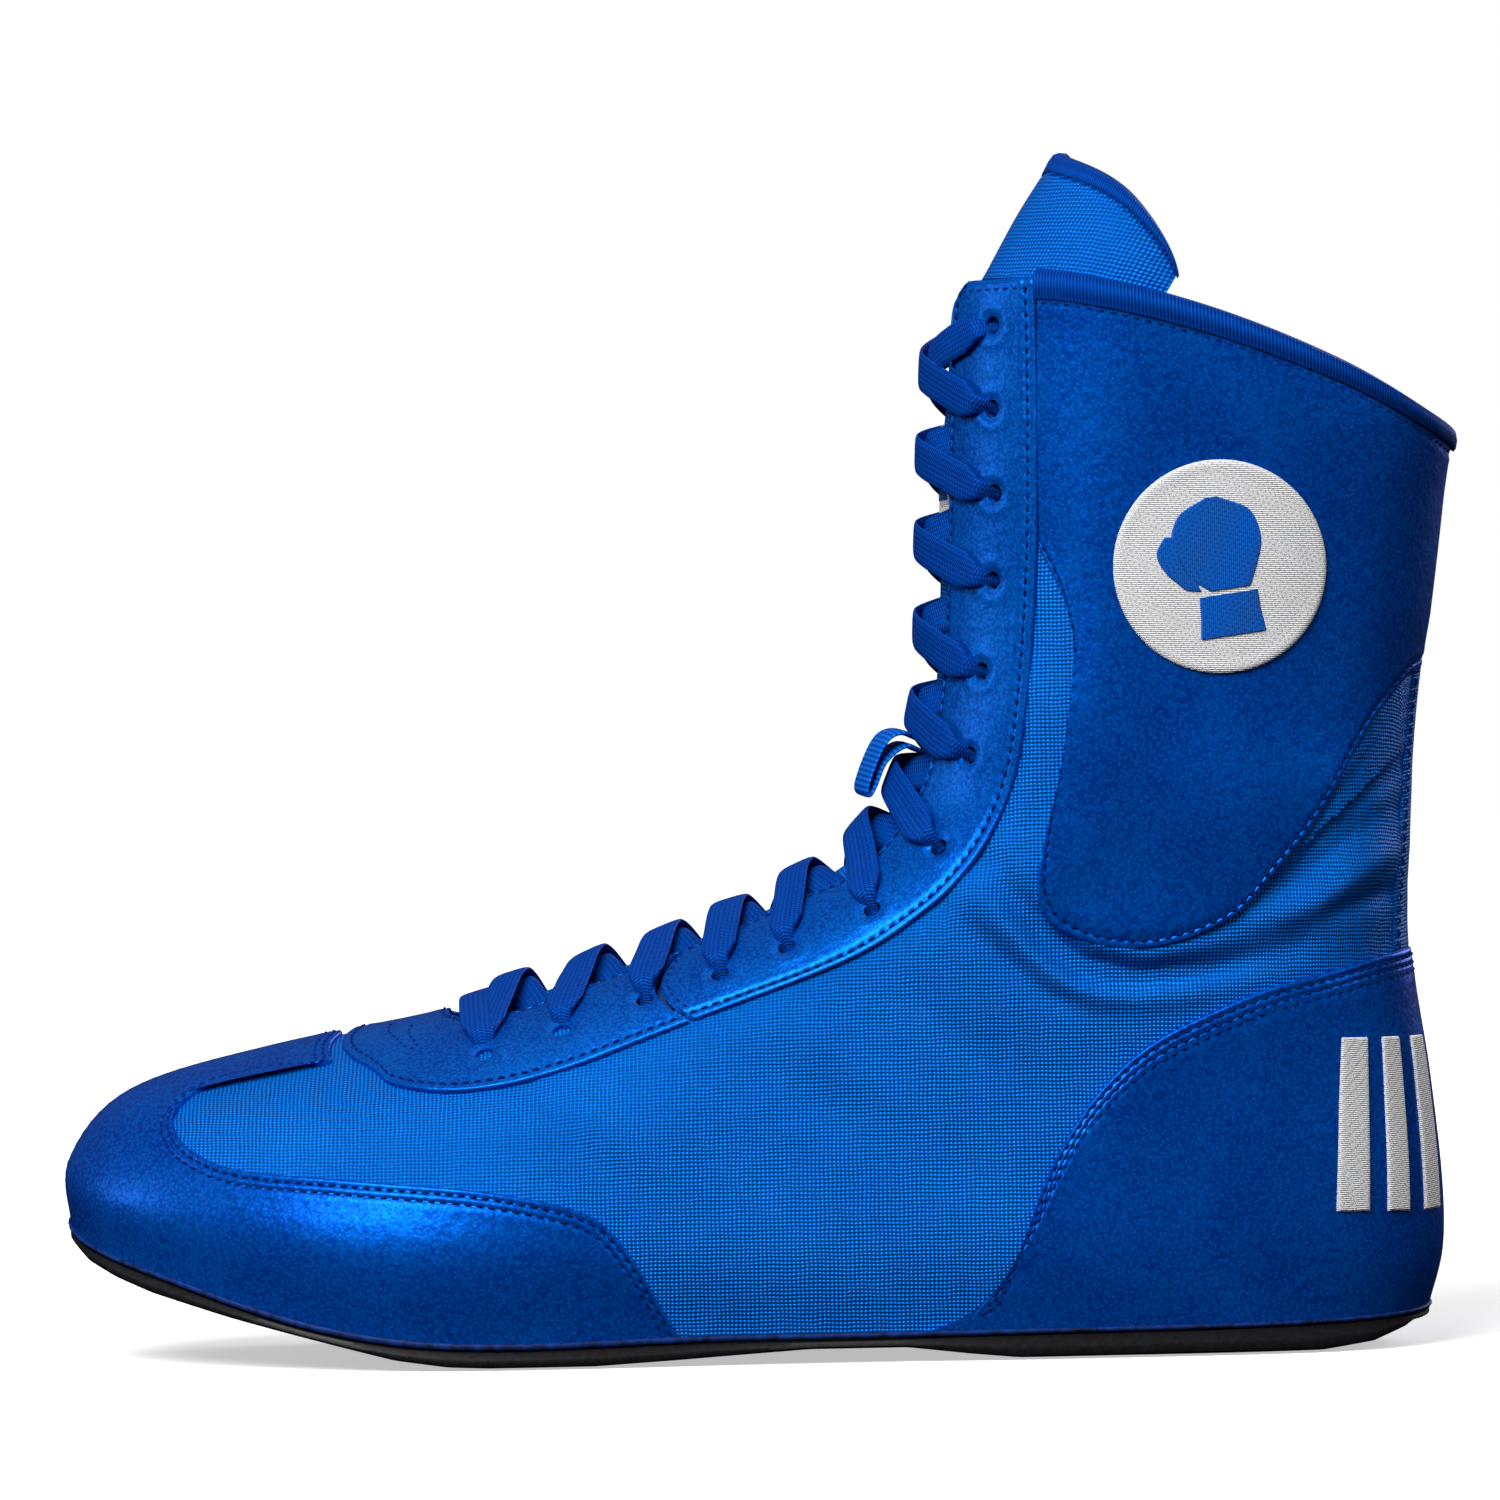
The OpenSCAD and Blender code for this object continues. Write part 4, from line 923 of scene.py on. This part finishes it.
def facings():
    for word, side in SIDES.items():
        panel = Panel(seam(FACING_OUTER, side), seam(FACING_INNER, side), near=NEAR[:11],
                      far=(0, 0.1, 0.3, 0.6, 0.95, 1.2, 1.45, 1.7, 2.1), rows=20)
        piece = leather_piece(f"facing_leather_{word}", panel, FACING_BLUE, rows=(2.3,), rows_b=(1.35,),
                              round_b=True, round_ends=True, swell=0.22, strength=0.15,
                              extra=eyelet_dimples(side, FACING_EYELETS))
        punch(piece, side, FACING_EYELETS)
        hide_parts(f"facing_{word}")
        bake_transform(piece)
        front = panel.place(np.linspace(0.5, panel.length[3] - 0.5, 40)[None].repeat(len(panel.run), 0))
        paths = [panel.row(2.3), panel.row(1.35, True), front[3], front[-4]]
        rows = stitches(f"facing_stitching_{word}", paths, THREAD_NAVY)
        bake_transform(rows)
        back = Panel(seam(BACKING_OUTER, side), seam(FACING_INNER, side) + [0, side * 0.6], step=2,
                     near=(0, 0.5, 1.5), rows=8)
        lining = leather_piece(f"facing_backing_cloth_{word}", back, LINING_NAVY, top=BACKING_TOP, thick=0.8)
        punch(lining, side, FACING_EYELETS)
        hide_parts(f"facing_backing_{word}")
        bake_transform(lining)


def cuffs():
    for word, side in SIDES.items():
        top = [[10.88, side * math.degrees(math.acos(1 - 2 * float(share(np.array(10.88), x))))]
               for x in CUFF_TOP_X]
        panel = Panel(seam(CUFF_LOW, side), top, near=NEAR[:11], rows=44)
        piece = leather_piece(f"cuff_leather_{word}", panel, LEATHER_BLUE,
                              rows=(2.1,), rows_b=(2.0,), swell=0.5,
                              strength=0.15)
        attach(piece, "shaft")
        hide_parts(f"cuff_{word}")
        rows = stitches(f"cuff_stitching_{word}", [panel.row(2.1), panel.row(2.0, True)], THREAD_NAVY)
        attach(rows, "shaft")


CLOTH_FRONT = np.array([[0, 0], [3.62, 0], [3.72, 33], [3.9, 52], [4.05, 58.1], [4.76, 57.6], [5.28, 57.1],
                        [5.56, 57], [6.02, 53.8], [6.54, 51.3], [7.07, 49.5], [7.58, 48.8], [8.23, 48.2],
                        [8.99, 48.4], [11, 47.8]])


def front_limit(t):
    """Angle at which the cloth ends under the throat piece and the facings, by ring."""
    return np.interp(t, CLOTH_FRONT[:, 0], CLOTH_FRONT[:, 1])


def wrap(name, t, p, top, low, finish, strength=1.0, fade=None, side=0):
    """Cloth over the rings t at the angles p, with its creases."""
    tt = t[:, None] + 0 * p
    base, n = ring(tt, p), outward(tt, p)
    d = strength * creases(base)
    d = np.clip(d, -1.4, 1.6) + 0.16 * waves(base, 14.0, 2.0)
    d = d * (fade(tt, p, base) if fade is not None else 1)
    uv = upright(base, side) if side else unroll(tt, p)
    return shell(name, base + n * (top + d)[..., None], base + n * (low + d)[..., None], uv, finish)


def under_leather(tt, p, base):
    """Creases die away under the stitched overlays."""
    counter = np.clip((base[..., 2] - (66 + 0.1 * (base[..., 0] - 60))) / 8, 0, 1)
    back = np.where(base[..., 0] > 70, counter, 1)
    cuff, _ = near_line(base, CUFF_LOW)
    rear = base[..., 2] > 90 + 0.55 * (base[..., 0] - 100).clip(0) * 1.6
    inside = (base[..., 2] > 150) | ((base[..., 0] > 63) & rear)
    return back * np.where(inside, np.clip(1 - cuff / 3, 0, 1), 1)


def mesh_upper():
    t = np.linspace(0.05, 9.4, 200)
    for word, side in SIDES.items():
        start = front_limit(t)[:, None]
        front = start + (64 - start) * np.linspace(0, 1, 40)[None, :-1]
        rest = np.linspace(64, 180, 118)[None] + 0 * start
        p = side * np.concatenate([front, rest], 1)
        piece = wrap(f"mesh_upper_{word}", t, p, MESH_TOP, MESH_LOW, MESH_BLUE, 1.6, under_leather, side)
        nodes = [f"vamp_mesh_{word}", f"shaft_mesh_{word}"]
        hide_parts(*nodes + (["ankle_mesh"] if side < 0 else []))
        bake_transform(piece)


def lining():
    t = np.linspace(0.25, 10.88, 110)
    start = front_limit(t) + 1.2 * np.clip(t - 3.6, 0, 1)
    p = start[:, None] + (360 - 2 * start)[:, None] * np.linspace(0, 1, 140)[None]
    piece = wrap("lining_cloth", t, p, LINING_TOP, LINING_LOW, LINING_NAVY, 0.3)
    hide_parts("lining_foot", "ankle_lining", "lining_shaft")
    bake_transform(piece)


def collar():
    """Folded tape over the top edge, with its row of stitches."""
    p = np.linspace(50, 310, 360)
    profile = [(10.84, 0.55), (10.87, 0.95), (10.95, 1.05), (11.02, 0.7), (11.05, -0.6), (11.05, -2.6),
               (11.02, -4.4), (10.95, -5.1), (10.86, -5.0), (10.84, -4.4), (10.9, -2.5), (10.88, -0.5)]
    points = np.stack([skin(np.full_like(p, t), p, np.full_like(p, d)) for t, d in profile], 0)
    m, n = points.shape[:2]
    faces = grid_faces(m, n, closed=True).tolist()
    faces += [[k * n for k in range(m)], [k * n + n - 1 for k in range(m - 1, -1, -1)]]
    v = np.linspace(0, 0.26, n)[None] + np.zeros((m, 1))
    u = np.linspace(-0.003, 0.003, m)[:, None] + 0 * v
    piece = build("collar_binding_tape", points.reshape(-1, 3), faces, np.stack([u, v], -1).reshape(-1, 2),
                  BINDING_BLUE, 50)
    face_out(piece)
    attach(piece, "shaft")
    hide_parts("collar_binding")


def backstay():
    t = np.linspace(4.55, 8.9, 64)
    half = 17 - 1.2 * np.clip(t - 6, 0, 3)
    f = np.linspace(-1, 1, 25)[None]
    p = 180 + half[:, None] * f
    tt = t[:, None] + 0 * p
    base, n = ring(tt, p), outward(tt, p)
    d = -0.45 - 0.5 * np.abs(f) ** 8 + 0.3 * creases(base) - 1.5 * np.clip(4.95 - tt, 0, 0.3)
    piece = shell("backstay_strip", base + n * d[..., None], base + n * (d - 0.6)[..., None], unroll(tt, p),
                  MESH_BLUE)
    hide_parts("backstay")
    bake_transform(piece)
    sides = [np.stack([t, 180 + half * s * 0.9], -1) for s in (-1, 1)]
    rows = stitches("backstay_stitching", sides, THREAD_NAVY, d=-0.5)
    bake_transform(rows)


# ---- Tongue ----

TONGUE_EDGE = [[3.75, 20], [4.2, 31], [4.8, 36], [5.3, 38], [6.5, 38], [7.5, 42], [8.5, 48], [9.5, 58],
               [10.1, 71], [10.5, 78], [10.95, 84]]
FLAP_H, FLAP_ANGLE = 31.0, 84.0
FLAP_LEAN = np.array([0.52, 0, 0.854])


def tongue_rise(t, p):
    height = np.interp(t, [3.7, 3.95, 4.35, 10, 10.5, 11], [1, 1, 3.5, 3.5, 2, -4])
    k = np.minimum(1, np.abs(p) / (17 * np.interp(t, [10, 11], [1, 1.8])))
    return height * (1 + np.cos(np.pi * k)) / 2


def tongue():
    edge = np.array(TONGUE_EDGE)
    t = np.linspace(edge[0, 0], edge[-1, 0], 150)
    half = np.interp(t, edge[:, 0], edge[:, 1])
    f = np.linspace(-1, 1, 61)[None]
    p = half[:, None] * f
    tt = t[:, None] + 0 * p
    pad = 1 - np.abs(f) ** 10
    base, n = ring(tt, p), outward(tt, p)
    top = TONGUE_SIDE - 1.2 + 1.2 * pad + tongue_rise(tt, p) - 0.25 * np.exp(-(f / 0.03) ** 2)
    low = TONGUE_SIDE + tongue_rise(tt, p) - 2.0
    piece = shell("tongue_mesh", base + n * top[..., None],
                  base + n * (low + 0 * top)[..., None], unroll(tt, p),
                  TONGUE_BLUE)
    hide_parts("tongue_lower", "tongue_ankle", "tongue_shaft")
    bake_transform(piece)


def flap_point(p, s, d):
    high = FLAP_H * np.maximum(0, 1 - (p / FLAP_ANGLE) ** 2) ** 0.6
    base = skin(np.full_like(p, LAST), p, TONGUE_SIDE + tongue_rise(np.full_like(p, LAST), p) + d)
    return base + FLAP_LEAN * (0.2 + s * high)[..., None]


def tongue_flap():
    p = np.linspace(-81, 81, 150)[:, None]
    s = np.linspace(-0.012, 0.885, 44)[None]
    pp, ss = np.broadcast_arrays(p, s)
    sag = 0.35 * np.sin(np.radians(pp) * 3.1 + ss * 4) * ss + 0.5 * np.exp(-((ss - 0.45) / 0.3) ** 2)
    top = flap_point(pp, ss, sag - 0.7 * np.exp(-((ss - 0.84) / 0.02) ** 2))
    low = flap_point(pp, ss, sag - 2.2)
    high = (FLAP_H * (1 - (p / FLAP_ANGLE) ** 2) ** 0.6 * s)
    uv = np.stack([np.radians(pp) * 44, high], -1) * MM
    piece = shell("tongue_top_mesh", top, low, uv, TONGUE_BLUE)
    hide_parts("tongue_top")
    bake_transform(piece)
    q = np.linspace(-81.5, 81.5, 240)
    rim = [(0.868, 0.2), (0.875, 0.6), (0.93, 0.75), (0.985, 0.5), (1.0, -0.4), (1.0, -1.8), (0.985, -2.5),
           (0.93, -2.75), (0.875, -2.6), (0.868, -2.2)]
    points = np.stack([flap_point(q, np.full_like(q, s), np.full_like(q, d)) for s, d in rim], 0)
    m, n = points.shape[:2]
    faces = grid_faces(m, n, closed=True).tolist()
    faces += [[k * n for k in range(m)], [k * n + n - 1 for k in range(m - 1, -1, -1)]]
    v = np.linspace(0, 0.16, n)[None] + np.zeros((m, 1))
    u = np.linspace(-0.003, 0.003, m)[:, None] + 0 * v
    tape = build("tongue_binding_tape", points.reshape(-1, 3), faces, np.stack([u, v], -1).reshape(-1, 2),
                 BINDING_BLUE, 50)
    face_out(tape)
    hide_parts("tongue_binding")
    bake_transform(tape)


def tongue_label():
    """Plain woven label with three blue bars, sewn to the tongue."""
    p = np.linspace(-9, 9, 30)[None]
    t = np.linspace(9.35, 10.0, 30)[:, None]
    tt, pp = np.broadcast_arrays(t, p)
    d = TONGUE_SIDE + tongue_rise(tt, pp)
    top, low = skin(tt, pp, d + 0.45), skin(tt, pp, d + 0.1)
    piece = shell("tongue_label_cloth", top, low, unroll(tt, pp), THREAD_WHITE)
    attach(piece, "shaft")
    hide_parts("tongue_label")
    for k, at in enumerate((9.48, 9.66, 9.84)):
        t = np.linspace(at, at + 0.08, 5)[:, None]
        tt, pp = np.broadcast_arrays(t, np.linspace(-6.5, 6.5, 24)[None])
        d = TONGUE_SIDE + tongue_rise(tt, pp)
        bar = shell(f"tongue_label_bar_{k}", skin(tt, pp, d + 0.62), skin(tt, pp, d + 0.4),
                    unroll(tt, pp), THREAD_BLUE)
        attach(bar, "shaft")


# ---- Lace ----

LACE_HALF, LACE_T = 3.9, 1.15
LACE_OVER, LACE_UNDER = 1.2, -3.9


def ribbon(points, ups, half, thick, sides=14):
    """Rounded flat braid along points: a closed tube with its width and thickness at each point."""
    run = np.gradient(points, axis=0)
    run /= np.linalg.norm(run, axis=-1, keepdims=True)
    side = np.cross(ups, run)
    side /= np.linalg.norm(side, axis=-1, keepdims=True)
    up = np.cross(run, side)
    turn = 2 * np.pi * np.arange(sides) / sides
    c, s = np.cos(turn), np.sin(turn)
    wide, tall = np.sign(c) * np.abs(c) ** 0.55, np.sign(s) * np.abs(s) ** 0.8
    body = (points[:, None] + side[:, None] * (half[:, None] * wide)[..., None]
            + up[:, None] * (thick[:, None] / 2 * tall)[..., None])
    gone = np.concatenate([[0], np.cumsum(np.linalg.norm(np.diff(points, axis=0), axis=1))])
    u = half[:, None] * wide
    v = gone[:, None] + 0 * u
    k = len(points)
    faces = []
    for i in range(k - 1):
        for j in range(sides):
            n = (j + 1) % sides
            faces.append([i * sides + j, (i + 1) * sides + j, (i + 1) * sides + n, i * sides + n])
    faces.append(list(range(sides)))
    faces.append(list(range(k * sides - 1, (k - 1) * sides - 1, -1)))
    return body.reshape(-1, 3), faces, np.stack([u, v], -1).reshape(-1, 2) * MM


def ease(x):
    x = np.clip(x, 0, 1)
    return x * x * (3 - 2 * x)


def level_with(target, run, p):
    """Ring at which angle p lies level, along the instep's run, with each side-view target."""
    lo, hi = np.zeros(len(p)), np.full(len(p), float(LAST))
    for _ in range(22):
        t = (lo + hi) / 2
        r = ring(t, p)[:, [0, 2]]
        beyond = ((r - target) * run).sum(-1) > 0
        lo, hi = np.where(beyond, lo, t), np.where(beyond, t, hi)
    return (lo + hi) / 2


def crossing(i, j, side, under, rise, twist):
    """One run of the lace: out of eyelet i, over the throat, and in at eyelet j from below or above."""
    a, b = seam([EYELETS[i]], side)[0] - [0, side], seam([EYELETS[j]], -side)[0] + [0, side]
    middle = np.array((a[0] + b[0]) / 2)
    run = curve(FRONT, middle + 0.6) - curve(FRONT, middle)
    k = np.concatenate([np.linspace(0, 0.12, 16), np.linspace(0.13, 1, 60)])
    if not under:
        k = np.concatenate([k[:60], np.linspace(k[60], 1, 22)])
    p = a[1] + (b[1] - a[1]) * k
    target = np.array(EYELETS[i], float) + (np.array(EYELETS[j], float) - EYELETS[i]) * k[:, None]
    t = level_with(target, run, p)
    d = LACE_OVER + rise * ease((k - 0.22) / 0.28)
    fall = ease((k - 0.5) / (0.25 if under else 0.28))
    down = (LACE_UNDER if under else LACE_OVER) - LACE_OVER - rise
    d = np.where(k > 0.5, LACE_OVER + rise + down * fall, d)
    d = d - 4.4 * (1 - ease(k / 0.055))
    d = d + 0.25 * np.sin(k * 9 + twist)
    half = 1.45 + (LACE_HALF - 1.45) * ease((k - 0.005) / 0.13) ** 0.75
    thick = 1.9 - (1.9 - LACE_T) * ease((k - 0.02) / 0.13)
    if not under:
        d = d - 4.4 * (1 - ease((1 - k) / 0.055))
        half = np.minimum(half, 1.45 + (LACE_HALF - 1.45) * ease((1 - k - 0.005) / 0.13) ** 0.75)
        thick = np.maximum(thick, 1.9 - (1.9 - LACE_T) * ease((1 - k - 0.02) / 0.13))
    points, ups = skin(t, p, d), outward(t, p)
    ups = ups + 0.16 * np.sin(k * 6 + twist)[:, None] * np.gradient(points, axis=0)[:, [1, 2, 0]]
    return ribbon(points, ups, half, thick)


def lace():
    runs = []
    last = len(EYELETS) - 1
    for i in range(1, last + 1):
        runs.append(crossing(i, i - 1, -1, i > 1, 2.1, 1.3 * i))
        runs.append(crossing(i, i - 1, 1, i > 1, 0.0, 0.7 * i + 2))
    runs.append(crossing(last, last, -1, False, 0.5, 0.4))
    points, faces, uv, count = [], [], [], 0
    for body, quads, cut in runs:
        points.append(body)
        uv.append(cut)
        faces += [[v + count for v in f] for f in quads]
        count += len(body)
    piece = build("lace_braid", np.concatenate(points), faces, np.concatenate(uv), LACE_BLUE, 60)
    face_out(piece)
    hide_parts("lace_foot", "lace_ankle", "lace_shaft")
    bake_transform(piece)
    tails, tips = [], []
    for side in SIDES.values():
        k = np.linspace(0, 5, 26)
        t, p = 10.42 + 0.06 * k, side * (35 - 1.2 * k)
        tails.append(ribbon(skin(t, p, LACE_UNDER + 0 * k), outward(t, p),
                            np.full(26, 2.6), np.full(26, 1.1)))
        k = np.linspace(0, 3, 14)
        t, p = 10.73 + 0.04 * k, side * (28.6 - 0.8 * k)
        tips.append(ribbon(skin(t, p, LACE_UNDER + 0 * k), outward(t, p),
                           np.full(14, 1.5), np.full(14, 1.4)))
    for name, parts, finish, node, slot in (
            ("lace_tails_braid", tails, LACE_BLUE, "lace_tails", "lace_navy"),
                                            ("aglet_tips", tips, RUBBER, "aglets", "aglet_navy")):
        size = len(parts[0][0])
        faces = parts[0][1] + [[v + size for v in f] for f in parts[1][1]]
        piece = build(name, np.concatenate([q[0] for q in parts]), faces,
                      np.concatenate([q[2] for q in parts]),
                      finish, 60)
        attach(piece, "shaft")
        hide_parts(node)


def lace_keeper():
    """The webbing loop that stands out over a crossing of the lace."""
    loop = curve([[2.4, -1.1], [2.3, 3.2], [-2, 6.4], [-7.6, 7.0], [-9.8, 7.6], [-8, 8.6], [-1.5, 8.4],
                  [2.6, 7.4], [4.6, 5.2], [4.9, 2.4], [4.6, -1.1]], np.linspace(0, 10, 90))
    origin, n = ring(7.5, 0), outward(7.5, 0)
    up = np.array([-n[2], 0, n[0]])
    up = up * np.sign(up[2])
    yaw = math.radians(20)
    out = n * math.cos(yaw) - np.array([0, 1.0, 0]) * math.sin(yaw)
    wide = n * math.sin(yaw) + np.array([0, 1.0, 0]) * math.cos(yaw)
    points = origin + loop[:, :1] * up + loop[:, 1:] * out
    ups = np.cross(np.gradient(points, axis=0), wide)
    body, faces, uv = ribbon(points, ups, np.full(90, 4.2), np.full(90, 1.1))
    piece = build("lace_keeper_loop", body, faces, uv, TAPE_BLUE, 60)
    face_out(piece)
    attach(piece, "shaft")
    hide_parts("lace_keeper")


# ---- Embroidery ----

EMBLEM_AT = np.array([98.5, 162.0])
EMBLEM_R = 22.0
GLOVE_TILT = math.radians(8)


def disc(name, side, centre, radius, top, low, finish):
    """Round embroidery laid on the surface, domed and rolled down at its rim."""
    r = radius * np.concatenate([np.linspace(0.02, 0.9, 22), [0.94, 0.97, 0.99, 1.0]])
    a = np.linspace(0, 2 * np.pi, 121)[:-1]
    flat = centre + np.stack([np.outer(np.cos(a), r), np.outer(np.sin(a), r)], -1)
    tp = seam(flat.reshape(-1, 2), side).reshape(flat.shape)
    edge = rounded(radius - r, 0.7, 0.5)[None]
    heavy = 0.18 * np.exp(-((radius - r - 1.3) / 0.7) ** 2)[None]
    d = top + edge + heavy + 0 * tp[..., 0]
    uv = (flat - centre) * MM
    return shell(name, skin(tp[..., 0], tp[..., 1], d),
                 skin(tp[..., 0], tp[..., 1], low + 0 * d), uv, finish, True)


def patch(name, side, left, right, top, low, finish):
    """Embroidery between two upright outlines in the emblem's own plane."""
    k = np.linspace(0, 1, 60)
    a, b = curve(left, k * (len(left) - 1)), curve(right, k * (len(right) - 1))
    f = np.concatenate([[0, 0.02, 0.05], np.linspace(0.1, 0.9, 18), [0.95, 0.98, 1]])[None, :, None]
    flat = a[:, None] + (b - a)[:, None] * f
    turn = np.array([[math.cos(GLOVE_TILT), -math.sin(GLOVE_TILT)],
                     [math.sin(GLOVE_TILT), math.cos(GLOVE_TILT)]])
    flat = flat @ turn.T
    tp = seam((EMBLEM_AT + flat).reshape(-1, 2), side).reshape(flat.shape)
    wide = np.linalg.norm(b - a, axis=1)[:, None]
    near = np.minimum(f[..., 0], 1 - f[..., 0]) * wide
    d = top + rounded(near, 0.6, 0.4)
    uv = flat[..., ::-1] * MM
    piece = shell(name, skin(tp[..., 0], tp[..., 1], d),
                  skin(tp[..., 0], tp[..., 1], low + 0 * d), uv, finish)
    return piece


def emblems():
    """A plain white disc with a boxing glove on it, on each cuff."""
    fist = ([[-3, -4.6], [-8.2, 0], [-9.4, 6], [-7, 11.5], [-1, 14.4]],
            [[5.6, -4.6], [7.8, 0], [9.2, 5], [7.6, 10.8], [1.4, 14.4]])
    thumb = ([[-8, -3.6], [-11.4, 0.4], [-12.6, 4.4], [-10.6, 7.6]],
             [[-4.6, -4.4], [-6.4, 0.6], [-8, 4], [-9, 7.4]])
    wrist = ([[-6.2, -14.2], [-5.6, -10], [-5.2, -5.7]], [[7.4, -14.2], [7.0, -10], [6.9, -5.7]])
    for word, side in SIDES.items():
        base = disc(f"emblem_disc_{word}", side, EMBLEM_AT, EMBLEM_R, 0.75, 0.02, THREAD_WHITE)
        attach(base, "shaft")
        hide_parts(f"emblem_{word}")
        for part, (left, right) in (("fist", fist), ("thumb", thumb), ("wrist", wrist)):
            piece = patch(f"emblem_{part}_{word}", side, np.array(left), np.array(right),
                          1.15, 0.6, THREAD_BLUE)
            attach(piece, "shaft")


def heel_bars():
    bars = [[146, 151.5], [155, 160], [164.5, 171]]
    low, high = locate([[127, 28.5], [127, 64.5]])[:, 0]
    made = []
    for k, (a, b) in enumerate(bars + [[360 - b, 360 - a] for a, b in bars]):
        t = np.linspace(low, high, 90)[:, None]
        f = np.concatenate([[0, 0.04, 0.1], np.linspace(0.16, 0.84, 10), [0.9, 0.96, 1]])[None]
        p = a + (b - a) * f + 0 * t
        tt = t + 0 * p
        near = np.minimum(f, 1 - f) * 5.4
        ends = np.minimum(np.arange(90), np.arange(90)[::-1])[:, None] * 0.42
        d = 0.7 + rounded(np.minimum(near, ends), 0.6, 0.45)
        uv = unroll(tt, p)
        made.append(shell(f"heel_bar_{k}", skin(tt, p, d), skin(tt, p, 0.02 + 0 * d), uv, THREAD_WHITE))
    for piece in made:
        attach(piece, "foot")
    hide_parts("heel_bars")


def inner_parts():
    """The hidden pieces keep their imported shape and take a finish."""
    for name, finish in (("insole_board", BOARD), ("toe_puff", STIFFENER), ("heel_stiffener", STIFFENER)):
        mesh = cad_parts[name].data
        mesh.materials.clear()
        mesh.materials.append(finish)


# ---- Studio ----

def studio():
    bpy.ops.mesh.primitive_plane_add(size=24, location=(0, 0, -0.0004))
    floor = bpy.context.object
    floor.name = "studio_floor"
    white = Finish("studio_white", Base_Color=colour(0.8, 0.8, 0.8), Roughness=0.95, Specular_IOR_Level=0.0)
    away = white.add("VectorMath", white.add("TexCoord").outputs["Object"],
                     operation="LENGTH").outputs["Value"]
    glow = white.math("MULTIPLY_ADD", white.ramp(away, 0.2, 1.1), 0.55, 0.5)
    white.shader.inputs["Emission Color"].default_value = colour(1, 1, 1)
    white.feed(white.shader.inputs["Emission Strength"], glow)
    floor.data.materials.append(white.material)
    floor.visible_diffuse = False
    floor.visible_glossy = False
    lights = [("key", (-0.5, -1.05, 1.05), 0.9, 32.0), ("top", (-0.1, 0.1, 1.5), 0.8, 1.5),
              ("front", (-1.5, -0.1, 0.5), 0.5, 2.5), ("back", (1.0, 1.2, 0.75), 1.0, 10.0),
              ("side", (1.2, -0.8, 0.75), 0.7, 3.5)]
    for name, at, size, power in lights:
        bpy.ops.object.light_add(type="AREA", location=at)
        lamp = bpy.context.object
        lamp.name = name
        lamp.data.size, lamp.data.energy = size, power
        aim = np.array([0, 0, 0.11]) - np.array(at)
        lamp.rotation_euler = (math.atan2(math.hypot(aim[0], aim[1]), -aim[2]), 0,
                               math.atan2(aim[1], aim[0]) - math.pi / 2)
    world = bpy.context.scene.world or bpy.data.worlds.new("studio")
    bpy.context.scene.world = world
    world.use_nodes = True
    tree = world.node_tree
    sky = tree.nodes["Background"]
    rays = tree.nodes.new("ShaderNodeLightPath")
    power = tree.nodes.new("ShaderNodeMapRange")
    tree.links.new(rays.outputs["Is Camera Ray"], power.inputs["Value"])
    way = tree.nodes.new("ShaderNodeTexCoord")
    split = tree.nodes.new("ShaderNodeSeparateXYZ")
    up = tree.nodes.new("ShaderNodeMapRange")
    tree.links.new(way.outputs["Generated"], split.inputs[0])
    tree.links.new(split.outputs["Z"], up.inputs["Value"])
    up.inputs["From Min"].default_value = -0.1
    up.inputs["From Max"].default_value = 0.5
    up.inputs["To Min"].default_value = 0.01
    up.inputs["To Max"].default_value = 0.14
    tree.links.new(up.outputs[0], power.inputs["To Min"])
    power.inputs["To Max"].default_value = 1.0
    sky.inputs["Color"].default_value = colour(1, 1, 1)
    tree.links.new(power.outputs[0], sky.inputs["Strength"])
    bpy.context.scene.view_settings.view_transform = "Standard"


def camera():
    distance = 1.75
    bpy.ops.object.camera_add()
    lens = bpy.context.object
    lens.data.lens = 36.0 * distance / 0.315
    lens.data.sensor_width = 36.0
    lens.data.clip_end = 60
    lens.location = (-0.0016, -distance, 0.1257)
    lens.rotation_euler = (math.radians(90), math.radians(0.82), 0)
    bpy.context.scene.camera = lens


outsole()
welt()
footbed()
toe_cap()
heel_counter()
throat()
facings()
cuffs()
mesh_upper()
lining()
collar()
backstay()
tongue()
tongue_flap()
tongue_label()
lace()
lace_keeper()
emblems()
heel_bars()
inner_parts()
studio()
camera()
